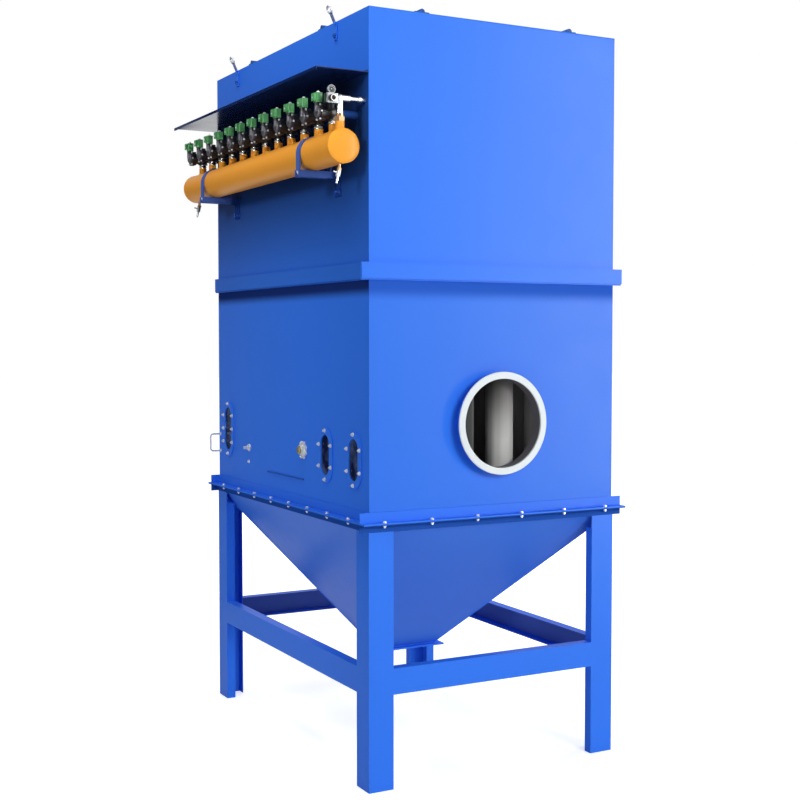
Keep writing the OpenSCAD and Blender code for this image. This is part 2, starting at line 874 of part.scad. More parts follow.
// encapsulated coil with its plug on the outside
module valve_coils() {
    corner = 5;
    plug_d = coil_d - 10;
    color(green) for (i = [0:valve_n - 1]) translate([pilot_x - coil_w / 2, valve_y(i), coil_z]) {
        translate([plug_w, -coil_d / 2, 0]) rounded_block(coil_w - plug_w, coil_d, coil_h, corner);
        translate([0, -plug_d / 2, 6]) cube([plug_w + corner, plug_d, coil_h - 10]);
    }
}

// from each valve through the wall and over its row of bags, with a hole above each bag
module blow_pipes() {
    pipe_wall = 3;
    collar_l = 6;
    hole_r = 6;
    to_wall = -half_w - body_end;
    pipe_l = rest_x + plate_t + rest_over - body_end;
    color(blue) for (i = [0:valve_n - 1]) translate([body_end, valve_y(i), valve_z]) difference() {
        union() {
            rod_x(pipe_r, pipe_l);
            translate([to_wall - collar_l, 0, 0]) rod_x(pipe_r + 9, collar_l);
        }
        translate([-1, 0, 0]) rod_x(pipe_r - pipe_wall, pipe_l + 1 - pipe_wall);
        for (k = [0:bag_n - 1])
            translate([bag_x(k) - body_end, 0, -pipe_r - 1]) cylinder(r = hole_r, h = pipe_r);
    }
}

// air supply: tank nozzle, union nut, riser, tee and a branch with a cock to the wall
module air_supply_pipe() {
    riser_z = tank_z + tank_r + 2 * nozzle_h;
    tee_r = riser_r + 2;
    cock_l = 14;
    cock_back = 20;
    color(silver) translate([tank_x, supply_y, 0]) {
        difference() {
            translate([0, 0, tank_z + tank_r / 2]) cylinder(r = nozzle_r, h = tank_r / 2 + nozzle_h);
            translate([0, -2 * nozzle_r, tank_z]) rod_y(tank_r, 4 * nozzle_r);
        }
        translate([0, 0, riser_z - nozzle_h]) cylinder(r = nozzle_r + 4, h = nozzle_h * 0.6, $fn = 6);
        translate([0, 0, riser_z - nozzle_h]) cylinder(r = riser_r + 3, h = nozzle_h);
        translate([0, 0, riser_z]) cylinder(r = riser_r, h = supply_z - riser_z);
        translate([0, 0, supply_z]) {
            sphere(r = tee_r);
            rod_x(riser_r - 1, branch_l);
            rod_x(thin_r, tank_off);
            translate([tank_off - cock_back - cock_l, 0, 0]) rod_x(thin_r + 4, cock_l);
        }
    }
}

// filter and regulator outside the riser: body, bowl, front knob and the gauge on top
module air_regulator() {
    body_d2 = reg_h - 4;
    bowl_r = 16;
    bowl_h = 30;
    knob_l = 10;
    gauge_t = 14;
    stem_r = 6;
    color(grey) translate([tank_x - riser_r - reg_w + 1, supply_y, supply_z - 0.65 * reg_h]) {
        translate([0, -body_d2 / 2, 0]) rounded_block(reg_w, body_d2, reg_h, 6);
        translate([reg_w / 2, 0, 0]) rotate([180, 0, 0]) rotate_extrude() polygon([
            [0, 0], [bowl_r, 0], [bowl_r, bowl_h - 8], [bowl_r - 7, bowl_h], [0, bowl_h]
        ]);
        translate([reg_w / 2, -body_d2 / 2 - knob_l, reg_h / 2]) rod_y(0.36 * reg_h, knob_l);
        translate([reg_w / 2, 0, reg_h]) cylinder(r = stem_r, h = gauge_r);
        translate([reg_w / 2, -gauge_t / 2, reg_h + gauge_r]) rod_y(gauge_r, gauge_t);
    }
}

// drain cock under each end of the tank: nipple, hexagon body, spout and lever
module drain_cocks() {
    nipple_h = 22;
    body_h = 34;
    spout_h = 30;
    lever_l = 26;
    color(silver) for (sy = [-1, 1]) translate([tank_x, sy * (tank_l / 2 - drain_in), tank_z - tank_r]) {
        difference() {
            translate([0, 0, -nipple_h]) cylinder(r = drain_r, h = 2 * nipple_h);
            translate([0, -2 * drain_r, tank_r]) rod_y(tank_r, 4 * drain_r);
        }
        translate([0, 0, -nipple_h]) rotate([0, 180 + drain_lean, 0]) {
            translate([0, 0, -4]) cylinder(r = drain_r + 4, h = body_h + 4, $fn = 6);
            translate([0, 0, body_h]) cylinder(r = drain_r - 2, h = spout_h);
            translate([0, 0, body_h / 2]) rod_x(4, lever_l);
        }
    }
}

module placed() {
    translate([origin_x, 0, 0]) children();
}

placed() leg(-1, -1);  // leg_front_left
placed() leg(1, -1);  // leg_front_right
placed() leg(-1, 1);  // leg_back_left
placed() leg(1, 1);  // leg_back_right
placed() beam(0, body_w, half_d);  // beam_front
placed() beam(90, body_d, half_w);  // beam_right
placed() beam(180, body_w, half_d);  // beam_back
placed() beam(270, body_d, half_w);  // beam_left
placed() hopper_plate(0, half_w, half_d, discharge_w / 2, discharge_d / 2);  // hopper_front
placed() hopper_plate(90, half_d, half_w, discharge_d / 2, discharge_w / 2);  // hopper_right
placed() hopper_plate(180, half_w, half_d, discharge_w / 2, discharge_d / 2);  // hopper_back
placed() hopper_plate(270, half_d, half_w, discharge_d / 2, discharge_w / 2);  // hopper_left
placed() discharge_flange();
placed() hopper_angles_ends();
placed() hopper_angles_sides();
placed() casing_angles_ends();
placed() casing_angles_sides();
placed() casing_front();
placed() casing_back();
placed() casing_left();
placed() casing_right();
placed() inlet_collar();
placed() inlet_flange();
placed() hand_hole_panes();
placed() hand_hole_rings();
placed() wall_rail();
placed() level_switch();
placed() pressure_tap();
placed() pull_handle();
placed() joint_bands_ends();
placed() joint_bands_sides();
placed() plenum_front();
placed() plenum_back();
placed() plenum_left();
placed() plenum_right();
placed() tube_sheet();
placed() filter_bags();
placed() outlet_collar();
placed() roof_panel();
placed() roof_lugs();
placed() lifting_eyes();
placed() rain_canopy();
placed() tank_shell();
placed() tank_ends();
placed() tank_clamps();
placed() valve_stubs();
placed() valve_unions();
placed() valve_bodies();
placed() valve_coils();
placed() blow_pipes();
placed() air_supply_pipe();
placed() air_regulator();
placed() drain_cocks();
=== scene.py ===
import bpy, bmesh, math, random
from mathutils import Euler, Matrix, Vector


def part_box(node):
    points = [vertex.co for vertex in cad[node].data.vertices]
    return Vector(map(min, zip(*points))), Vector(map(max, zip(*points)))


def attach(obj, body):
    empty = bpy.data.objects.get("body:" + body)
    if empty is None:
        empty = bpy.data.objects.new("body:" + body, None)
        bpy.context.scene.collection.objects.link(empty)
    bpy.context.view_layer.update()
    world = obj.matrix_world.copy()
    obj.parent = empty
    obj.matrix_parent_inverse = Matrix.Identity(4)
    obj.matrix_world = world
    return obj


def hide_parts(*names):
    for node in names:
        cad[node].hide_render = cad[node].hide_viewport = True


# The looks of a baghouse dust collector, fitted to its solids: their finishes, the small
# fasteners and weld beads, felt filter bags, a pressure gauge, and the studio round it all.

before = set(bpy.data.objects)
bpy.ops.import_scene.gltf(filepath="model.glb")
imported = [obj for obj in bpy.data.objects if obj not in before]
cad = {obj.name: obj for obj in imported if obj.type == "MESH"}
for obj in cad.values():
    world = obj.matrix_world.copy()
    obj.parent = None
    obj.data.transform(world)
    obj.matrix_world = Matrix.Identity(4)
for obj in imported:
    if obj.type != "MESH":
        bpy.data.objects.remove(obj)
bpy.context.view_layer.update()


# -------------------------------- small helpers

def linear(hex_colour):
    """'#rrggbb' in sRGB to the linear values that a shader takes."""
    parts = [int(hex_colour[i:i + 2], 16) / 255 for i in (1, 3, 5)]
    return [p / 12.92 if p <= 0.04045 else ((p + 0.055) / 1.055) ** 2.4 for p in parts] + [1.0]


def add(tree, kind, inputs=None, **settings):
    """A node with its settings. inputs gives each input a value, another node's socket, or a
    node whose first output goes there."""
    node = tree.nodes.new(kind)
    for name, value in settings.items():
        setattr(node, name, value)
    for key, value in (inputs or {}).items():
        if isinstance(value, bpy.types.Node):
            value = value.outputs[0]
        if isinstance(value, bpy.types.NodeSocket):
            tree.links.new(value, node.inputs[key])
        else:
            node.inputs[key].default_value = value
    return node


# sockets of a Mix node set to colours: its share, its two colours and its result
SHARE, FROM, TO, MIXED = 0, 6, 7, 2


def new_finish(name):
    """An empty material, its tree, and Object coordinates, which on every piece are metres in
    the part's own frame."""
    finish = bpy.data.materials.new(name)
    finish.use_nodes = True
    tree = finish.node_tree
    tree.nodes.clear()
    return finish, tree, add(tree, "ShaderNodeTexCoord").outputs["Object"]


def per_metre(millimetres):
    """The scale at which a pattern repeats about once in that length."""
    return 1000 / millimetres


def new_object(name, data):
    """An object at the origin that holds a mesh, a light or a camera."""
    made = bpy.data.objects.new(name, data)
    bpy.context.scene.collection.objects.link(made)
    return made


def dress(mesh, finish):
    """Puts a mesh in one finish all over."""
    mesh.materials.clear()
    mesh.materials.append(finish)


def new_piece(name, mesh):
    """A finished mesh as a piece of the object, riding on its one body."""
    piece = new_object(name, mesh)
    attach(piece, "root")
    return piece


def centre(node_name):
    """The middle of the box round a node's solids."""
    low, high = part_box(node_name)
    return (low + high) / 2


def round_the_circle(count):
    """Angles of that many even steps."""
    return [2 * math.pi * i / count for i in range(count)]


# -------------------------------- sizes, in metres

case_low, case_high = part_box("casing_front")[0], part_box("casing_back")[1]
left, front = case_low.x, case_low.y
right, back = case_high.x, case_high.y
middle = (left + right) / 2
flange_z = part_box("casing_angles_ends")[0].z
joint_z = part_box("plenum_left")[0].z
roof_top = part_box("roof_panel")[1].z
canopy_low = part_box("rain_canopy")[0]

tank_low, tank_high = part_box("tank_shell")
tank_x, _, tank_z = centre("tank_shell")
tank_r = (tank_high.z - tank_low.z) / 2
NOZZLE_H = 0.034          # the supply nozzle, and the union nut on it
nozzle_top = tank_high.z + NOZZLE_H

VALVES = 12
ROW_INSET = 0.103         # from the front and back walls to the first and last valve
VALVE_R = 0.032
PILOT_OUT = 0.0215        # how far a valve's pilot stands out in front of its cover
row_pitch = (back - front - 2 * ROW_INSET) / (VALVES - 1)
row_y = [front + ROW_INSET + i * row_pitch for i in range(VALVES)]
valve_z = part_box("valve_unions")[1].z + VALVE_R
cover_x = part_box("valve_bodies")[0].x + PILOT_OUT
SUPPLY_OFF = 0.066        # from the first valve to the supply pipe
supply_y = row_y[0] - SUPPLY_OFF

inlet_low, inlet_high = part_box("inlet_collar")
inlet_x, _, inlet_z = centre("inlet_collar")
inlet_tube_r = (inlet_high.x - inlet_low.x) / 2
PLATE = 0.005             # thickness of the angles, brackets and straps


# -------------------------------- finishes

def dust_and_shade_cover(tree, xyz, fades):
    """How much a second colour hides the paint, from 0 to 1: real dust in some places, and painted
    shade and a painted reflection in others. Each fade reads a place in metres or the way the sheet
    faces, along one axis, and runs from none at its start to full at its end."""
    reads = {"place": xyz, "facing": add(tree, "ShaderNodeNewGeometry").outputs["True Normal"]}
    cover = 1.0
    for read, axis, start, end in fades:
        along = add(tree, "ShaderNodeSeparateXYZ", {0: reads[read]}).outputs[axis]
        fade = add(tree, "ShaderNodeMapRange", {"Value": along, "From Min": start, "From Max": end},
                   interpolation_type="SMOOTHSTEP")
        cover = add(tree, "ShaderNodeMath", {0: fade, 1: cover}, operation="MULTIPLY")
    return cover


def from_centre(tree, xyz, x, z):
    """Offsets across and up from a line along Y, and the square of the distance from it."""
    axes = add(tree, "ShaderNodeSeparateXYZ", {0: xyz})
    across = add(tree, "ShaderNodeMath", {0: axes.outputs["X"], 1: x}, operation="SUBTRACT")
    up = add(tree, "ShaderNodeMath", {0: axes.outputs["Z"], 1: z}, operation="SUBTRACT")
    square = add(tree, "ShaderNodeMath", {0: up, 1: up}, operation="MULTIPLY")
    square = add(tree, "ShaderNodeMath", {0: across, 1: across, 2: square}, operation="MULTIPLY_ADD")
    return across, up, square


def enamel(name, paint, rough=0.36, gloss=0.035, peel=0.12, dulled=None, lined=None):
    """Alkyd gloss enamel sprayed on sheet steel: an even colour that shifts a little from panel
    to panel, faint orange peel, and slow waves in the sheet that bend what it reflects. dulled
    is a second colour with its fades, which takes the shine too: real dust inside the casing and
    hopper, painted shade elsewhere, and a painted reflection on the canopy's far edge. lined is
    (x, z, radius, colour) of a round collar whose inside keeps dusty primer."""
    finish, tree, xyz = new_finish(name)
    base, second = paint
    # the colour shifts over about 0.9 m, from one panel to the next
    cloud = add(tree, "ShaderNodeTexNoise", {"Vector": xyz, "Scale": per_metre(909.1), "Detail": 3.0})
    # orange peel is about 1.5 mm across, drawn as 6 mm so that it shows
    dimples = add(tree, "ShaderNodeTexNoise", {"Vector": xyz, "Scale": per_metre(6.25), "Detail": 1.0})
    # the sheet's own waves are about half a metre long
    wave = add(tree, "ShaderNodeTexNoise", {"Vector": xyz, "Scale": per_metre(454.5), "Detail": 0.0})
    # rain and hands leave a thin film in patches of about 110 mm
    film = add(tree, "ShaderNodeTexNoise", {
        "Vector": xyz, "Scale": per_metre(111.1), "Detail": 5.0, "Roughness": 0.65})
    colour = add(tree, "ShaderNodeMix", {SHARE: cloud, FROM: linear(base), TO: linear(second)},
                 data_type="RGBA").outputs[MIXED]
    shine = gloss
    if dulled:
        dust, fades = dulled
        cover = dust_and_shade_cover(tree, xyz, fades)
        colour = add(tree, "ShaderNodeMix", {SHARE: cover, FROM: colour, TO: linear(dust)},
                     data_type="RGBA").outputs[MIXED]
        shine = add(tree, "ShaderNodeMath", {0: cover, 1: -gloss, 2: gloss}, operation="MULTIPLY_ADD")
    if lined:
        x, z, radius, primer = lined
        _, _, square = from_centre(tree, xyz, x, z)
        inside = add(tree, "ShaderNodeMath", {0: square, 1: radius * radius}, operation="LESS_THAN")
        colour = add(tree, "ShaderNodeMix", {SHARE: inside, FROM: colour, TO: linear(primer)},
                     data_type="RGBA").outputs[MIXED]
    rough_map = add(tree, "ShaderNodeMapRange", {
        "Value": film, "From Min": 0.3, "From Max": 0.7, "To Min": rough - 0.02, "To Max": rough + 0.03})
    slow = add(tree, "ShaderNodeBump", {"Height": wave, "Strength": 0.2, "Distance": 0.006})
    fine = add(tree, "ShaderNodeBump", {
        "Height": dimples, "Strength": peel, "Distance": 0.0004, "Normal": slow})
    coat = add(tree, "ShaderNodeBsdfPrincipled", {
        "Base Color": colour, "Roughness": rough_map, "Normal": fine, "IOR": 1.5,
        "Specular IOR Level": shine})
    add(tree, "ShaderNodeOutputMaterial", {"Surface": coat})
    return finish


def dust_and_shade_inside(name, paint, dust, axis, start=-0.2, end=-0.8):
    """The same enamel, darkened on the faces that look towards the inside, along -axis: painted
    shade inside the frame's beams, real dust inside the casing and the hopper.
    """
    return enamel(name, paint, dulled=(dust, [("facing", axis, start, end)]))


def bare_metal(name, base, dark, rough=0.3, grain_mm=3.846, bands=(), metallic=1.0):
    """Zinc-plated, galvanised or stainless steel, or cast alloy: cool grey, a fine grain, and a
    mottled film that varies the gloss. A metallic below 1 is plating with a whitish passivated
    film. Each band (axis, from, to, colour, metallic) is a length with another finish, such as
    a painted nozzle, a brass nut or a black cap."""
    finish, tree, xyz = new_finish(name)
    # the film on the metal is mottled in spots of about 17 mm
    mottle = add(tree, "ShaderNodeTexNoise", {"Vector": xyz, "Scale": per_metre(16.667), "Detail": 4.0})
    # plated steel has a grain of under 1 mm, drawn as 4 mm so that it shows
    grain = add(tree, "ShaderNodeTexNoise", {"Vector": xyz, "Scale": per_metre(grain_mm), "Detail": 2.0})
    tint = add(tree, "ShaderNodeMix", {SHARE: mottle, FROM: linear(base), TO: linear(dark)},
               data_type="RGBA").outputs[MIXED]
    rough_map = add(tree, "ShaderNodeMapRange", {
        "Value": mottle, "To Min": rough - 0.1, "To Max": rough + 0.12})
    bump = add(tree, "ShaderNodeBump", {"Height": grain, "Strength": 0.2, "Distance": 0.0002})
    surface = add(tree, "ShaderNodeBsdfPrincipled", {
        "Base Color": tint, "Metallic": metallic, "Roughness": rough_map, "Normal": bump})
    axes = add(tree, "ShaderNodeSeparateXYZ", {0: xyz})
    for axis, start, end, colour, metal in bands:
        above = add(tree, "ShaderNodeMath", {0: axes.outputs[axis], 1: start}, operation="GREATER_THAN")
        below = add(tree, "ShaderNodeMath", {0: axes.outputs[axis], 1: end}, operation="LESS_THAN")
        within = add(tree, "ShaderNodeMath", {0: above, 1: below}, operation="MULTIPLY")
        other = add(tree, "ShaderNodeBsdfPrincipled", {
            "Base Color": linear(colour), "Metallic": metal, "Roughness": 0.38,
            "Specular IOR Level": 0.5 if metal else 0.05, "Normal": bump})
        surface = add(tree, "ShaderNodeMixShader", {0: within, 1: surface, 2: other})
    add(tree, "ShaderNodeOutputMaterial", {"Surface": surface})
    return finish


def cast_body(name, paint, cap, cap_end, cap_top):
    """Black stoved paint over a pressure die casting, with the turned cap on its cover left
    as dull tumbled aluminium."""
    finish, tree, xyz = new_finish(name)
    # the skin of the casting has a grain of about 1 mm, drawn as 3 mm
    grain = add(tree, "ShaderNodeTexNoise", {"Vector": xyz, "Scale": per_metre(3.0303), "Detail": 3.0})
    bump = add(tree, "ShaderNodeBump", {"Height": grain, "Strength": 0.4, "Distance": 0.0008})
    black = add(tree, "ShaderNodeBsdfPrincipled", {
        "Base Color": linear(paint), "Roughness": 0.4, "Normal": bump, "Specular IOR Level": 0.5})
    aluminium = add(tree, "ShaderNodeBsdfPrincipled", {
        "Base Color": linear(cap), "Metallic": 0.5, "Roughness": 0.42, "Normal": bump})
    axes = add(tree, "ShaderNodeSeparateXYZ", {0: xyz})
    outside = add(tree, "ShaderNodeMath", {0: axes.outputs["X"], 1: cap_end}, operation="LESS_THAN")
    low = add(tree, "ShaderNodeMath", {0: axes.outputs["Z"], 1: cap_top}, operation="LESS_THAN")
    on_cap = add(tree, "ShaderNodeMath", {0: outside, 1: low}, operation="MULTIPLY")
    surface = add(tree, "ShaderNodeMixShader", {0: on_cap, 1: black, 2: aluminium})
    add(tree, "ShaderNodeOutputMaterial", {"Surface": surface})
    return finish


def moulded_nylon(name, base, second):
    """Glass-filled nylon, moulded: satin, with a faint swirl of filler in the colour."""
    finish, tree, xyz = new_finish(name)
    # the filler swirls from the gate in streaks of about 22 mm
    swirl = add(tree, "ShaderNodeTexNoise", {
        "Vector": xyz, "Scale": per_metre(22.222), "Detail": 4.0, "Distortion": 1.2})
    # the spark-eroded mould leaves a grain of 0.1 mm, drawn as 1.4 mm
    spark = add(tree, "ShaderNodeTexNoise", {"Vector": xyz, "Scale": per_metre(1.4286), "Detail": 1.0})
    tint = add(tree, "ShaderNodeMix", {SHARE: swirl, FROM: linear(base), TO: linear(second)},
               data_type="RGBA").outputs[MIXED]
    bump = add(tree, "ShaderNodeBump", {"Height": spark, "Strength": 0.25, "Distance": 0.0003})
    nylon = add(tree, "ShaderNodeBsdfPrincipled", {
        "Base Color": tint, "Roughness": 0.42, "Normal": bump, "IOR": 1.53})
    add(tree, "ShaderNodeOutputMaterial", {"Surface": nylon})
    return finish


def needle_felt(name, base, second, dark_cake_and_shade, dusty, bag_at, bag_r, stream_z):
    """Polyester needle felt, singed on the outside: matt grey with short fibres that catch the
    light at the edges. The inlet stream scours the bag at bag_at, which stays light below the
    stream's height. Above that, and on the other bags, the felt is darker, dark on the near side
    and paler on the far side, where the stream turns to: partly a cake of dust, and partly
    painted shade that the inlet's rim and wall cast on the bags."""
    finish, tree, xyz = new_finish(name)
    # dust cakes in patches of about 170 mm
    cake = add(tree, "ShaderNodeTexNoise", {
        "Vector": xyz, "Scale": per_metre(166.67), "Detail": 6.0, "Roughness": 0.6})
    # fibres are 0.02 mm thick, drawn as clumps of 2 mm
    fibre = add(tree, "ShaderNodeTexNoise", {
        "Vector": xyz, "Scale": per_metre(2.0833), "Detail": 3.0, "Distortion": 0.6})
    bare = add(tree, "ShaderNodeMix", {SHARE: cake, FROM: linear(base), TO: linear(second)},
               data_type="RGBA").outputs[MIXED]
    x, y = bag_at
    offset = add(tree, "ShaderNodeVectorMath", {0: xyz, 1: (x, y, 0.0)}, operation="SUBTRACT")
    level = add(tree, "ShaderNodeVectorMath", {0: offset, 1: (1.0, 1.0, 0.0)}, operation="MULTIPLY")
    away = add(tree, "ShaderNodeVectorMath", {0: level}, operation="LENGTH").outputs["Value"]
    on_bag = add(tree, "ShaderNodeMath", {0: away, 1: bag_r}, operation="LESS_THAN")
    axes = add(tree, "ShaderNodeSeparateXYZ", {0: xyz})
    # the light felt darkens upwards over 285 mm: the stream's frayed edge, and painted shade
    below = add(tree, "ShaderNodeMapRange", {
        "Value": axes.outputs["Z"], "From Min": stream_z + 0.175, "From Max": stream_z - 0.11},
        interpolation_type="SMOOTHSTEP")
    scoured_and_lit = add(tree, "ShaderNodeMath", {0: on_bag, 1: below}, operation="MULTIPLY")
    side = add(tree, "ShaderNodeMapRange", {
        "Value": axes.outputs["X"], "From Min": x - bag_r, "From Max": x + bag_r})
    cover = add(tree, "ShaderNodeMix", {SHARE: side, FROM: linear(dark_cake_and_shade), TO: linear(dusty)},
                data_type="RGBA").outputs[MIXED]
    tint = add(tree, "ShaderNodeMix", {SHARE: scoured_and_lit, FROM: cover, TO: bare},
               data_type="RGBA").outputs[MIXED]
    bump = add(tree, "ShaderNodeBump", {"Height": fibre, "Strength": 0.5, "Distance": 0.0008})
    felt = add(tree, "ShaderNodeBsdfPrincipled", {
        "Base Color": tint, "Roughness": 0.92, "Normal": bump, "Specular IOR Level": 0.2,
        "Sheen Weight": 0.25, "Sheen Roughness": 0.5})
    add(tree, "ShaderNodeOutputMaterial", {"Surface": felt})
    return finish


def sight_glass(name, base, second):
    """Toughened glass in a rubber seal over a dark chamber, with a dusty inner face."""
    finish, tree, xyz = new_finish(name)
    # dust settles on the glass in clouds of about 90 mm
    dust = add(tree, "ShaderNodeTexNoise", {"Vector": xyz, "Scale": per_metre(90.91), "Detail": 5.0})
    cloud = add(tree, "ShaderNodeMapRange", {"Value": dust, "From Min": 0.42, "From Max": 0.62})
    tint = add(tree, "ShaderNodeMix", {SHARE: cloud, FROM: linear(base), TO: linear(second)},
               data_type="RGBA").outputs[MIXED]
    glass = add(tree, "ShaderNodeBsdfPrincipled", {
        "Base Color": tint, "Roughness": 0.16, "IOR": 1.5, "Specular IOR Level": 0.3})
    add(tree, "ShaderNodeOutputMaterial", {"Surface": glass})
    return finish


BLUE = ("#3579ee", "#3274e8")
# the hopper's blue, a little greyer than the body's blue as painted sheen
HOPPER_BLUE = ("#3f76df", "#3b72d6")
ORANGE = ("#f6a63c", "#f09f36")
# painted shade for the inner faces of the back and right beams, under the hopper
BEAM_PAINTED_SHADE = "#4f66ac"
CAKED_DUST = "#5b5a59"
DUSTY_PRIMER = "#65636a"
BLACK_PLASTIC = "#1b1c1f"
FLOOR = 0.0               # the lower end of a band that runs down to the floor
FAR = 5.0                 # well beyond the part, for a band's open end

blue = enamel("blue_alkyd_enamel", BLUE)
# painted shade of the canopy on the wall behind the valves and on the blow pipes: darkest under
# the canopy, fading down to a metre below it and thinner towards the front
blue_with_canopy_shade = enamel("blue_enamel_with_painted_shade_under_canopy", BLUE, dulled=("#17233f", [
    ("place", "Z", canopy_low.z - 1.0, canopy_low.z - 0.16),
    ("place", "Z", canopy_low.z + 0.03, canopy_low.z + 0.02),
    ("place", "Y", front - 0.45, front + 0.30)]))
# painted shade inside the beams, and a thick grey cake of dust inside the casing
inner_back = dust_and_shade_inside("blue_enamel_painted_shade_inside_back_beam", BLUE, BEAM_PAINTED_SHADE, "Y")
inner_right = dust_and_shade_inside("blue_enamel_painted_shade_inside_right_beam", BLUE, BEAM_PAINTED_SHADE, "X")
dusty_back = dust_and_shade_inside("blue_enamel_caked_inside_back_wall", BLUE, CAKED_DUST, "Y")
dusty_right = dust_and_shade_inside("blue_enamel_caked_inside_right_wall", BLUE, CAKED_DUST, "X")
# a dark line of painted shade under the joint's bars
below_joint = enamel("blue_enamel_with_painted_shade_below_joint", BLUE, dulled=("#1a3070", [
    ("place", "Z", joint_z - 0.085, joint_z - 0.030)]))
# sun and rain leave the roof chalky and matt
chalked = enamel("blue_enamel_chalked_by_weather", ("#3a7be9", "#3373e2"), rough=0.7, gloss=0.0)
# the lower angles under the flange in a darker blue, as painted shade
below_flange = enamel("blue_enamel_with_painted_shade_under_flange", BLUE, dulled=("#2450a6", [
    ("place", "Z", flange_z + 0.001, flange_z - 0.003)]))
# straps in a greyer, flatter enamel, with painted shade near the wall
clamp_blue = enamel("blue_grey_strap_enamel_with_painted_shade_at_wall", ("#4a66b0", "#4360a8"), rough=0.42, dulled=("#1f3c80", [
    ("place", "X", left - 0.060, left - 0.030)]))
# the canopy in dark navy as painted shade for its shaded underside: a smooth sheet that mirrors
# the sky, with a pale painted reflection along its outer edge at the far end
canopy_navy_painted_shade = enamel("navy_painted_shade_with_painted_reflection_at_edge", ("#142a60", "#122553"), rough=0.17, gloss=0.30, peel=0.015,
              dulled=("#4a5674", [("place", "X", canopy_low.x + 0.20, canopy_low.x + 0.01),
                                  ("place", "Y", back - 0.55, back - 0.10)]))
# the hopper's greyer blue is a painted sheen, for the pale reflection on its slopes
hopper_blue = enamel("blue_enamel_greyed_as_painted_sheen", HOPPER_BLUE)
hopper_back_blue = dust_and_shade_inside("blue_enamel_caked_inside_hopper_back", HOPPER_BLUE, CAKED_DUST,
                                "Y", -0.1, -0.5)
hopper_right_blue = dust_and_shade_inside("blue_enamel_caked_inside_hopper_right", HOPPER_BLUE, CAKED_DUST,
                                 "X", -0.1, -0.5)
# the side bands a little darker than the wall's blue, as painted shade
side_band = enamel("blue_enamel_darkened_as_painted_shade_on_side_band", ("#2f6fda", "#2d6bd2"))
# the lugs on the roof in a darker, flatter blue, as painted shade
lug_blue_painted_shade = enamel("blue_enamel_darkened_as_painted_shade_on_lugs", ("#2c5aa8", "#264b8c"), rough=0.5)
# a darker blue as painted shade on the thin rail, also on the bolts at the tank clamps and lifting eyes
rail_blue = enamel("blue_rail_enamel_darkened_as_painted_shade", ("#2c5cbc", "#2854ac"), rough=0.4)
orange = enamel("orange_alkyd_enamel", ORANGE, rough=0.34)
white = enamel("white_epoxy_enamel", ("#dfe6e7", "#d8dfe0"), rough=0.3)
# passivated zinc is pale and hardly mirrors; nickel is warmer and sharper
zinc = bare_metal("zinc_plated_steel", "#e9edf1", "#c6cbd1", rough=0.36, metallic=0.35)
nickel = bare_metal("nickel_plated_brass", "#d9d6cf", "#aaa59b", rough=0.24)
riser_steel = bare_metal("stainless_tube_with_brass_nut", "#f0f2f3", "#d9dcde", rough=0.3, bands=(
    ("Z", FLOOR, nozzle_top, ORANGE[0], 0.0),
    ("Z", nozzle_top, nozzle_top + NOZZLE_H, "#86664a", 0.9)))
# hot-dip zinc has a spangle of about 17 mm
galvanised = bare_metal("galvanised_sheet", "#b9bcbf", "#94989c", rough=0.45, grain_mm=16.667)
nylon = moulded_nylon("green_glass_filled_nylon", "#5cab69", "#4a9657")
glass = sight_glass("dusty_sight_glass", "#121a40", "#46557c")
# the turned cap stands in front of the cover, below the pilot's neck
casting = cast_body("black_die_casting", "#17171b", "#5a595f", cover_x - 0.0005, valve_z + 0.026)
eye_finish = bare_metal("painted_strap_with_galvanised_ring", "#dcdfe2", "#bfc3c7", rough=0.42,
                        metallic=0.35, bands=(
                            ("Z", FLOOR, roof_top - 0.002, BLUE[0], 0.0),
                            ("Z", roof_top - 0.002, roof_top + 0.034, "#5d6b90", 0.0)))
gland_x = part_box("level_switch")[0].x
switch_finish = bare_metal("zinc_flange_with_brass_gland", "#f2f4f1", "#d3d5cf", rough=0.3,
                           metallic=0.25, bands=(("X", -FAR, gland_x + 0.010, "#8d8454", 0.5),))
cock_finish = bare_metal("nickel_cock_with_brass_nipple", "#cfd1d1", "#8f9191", rough=0.26, bands=(
    ("Z", tank_low.z - 0.030, FAR, "#8e6f52", 0.9),))
reg_low, reg_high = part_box("air_regulator")
regulator_finish = bare_metal("die_cast_regulator", "#7a7d82", "#54575b", rough=0.36, bands=(
    ("Z", FLOOR, reg_low.z + 0.030, BLACK_PLASTIC, 0.0),
    ("Y", -FAR, reg_low.y + 0.0095, BLACK_PLASTIC, 0.0)))
duct = enamel("blue_collar_with_dusty_primer_inside", BLUE,
              lined=(inlet_x, inlet_z, inlet_tube_r - 0.0015, DUSTY_PRIMER))
# the front wall in a slightly darker blue, as painted shade, with more painted shade under the joint's bars
mouth = enamel("blue_wall_with_dusty_primer_round_the_mouth", ("#3375e6", "#3070df"),
               lined=(inlet_x, inlet_z, inlet_tube_r + 0.0005, DUSTY_PRIMER),
               dulled=("#2b59bd", [("place", "Z", joint_z - 0.10, joint_z - 0.032)]))

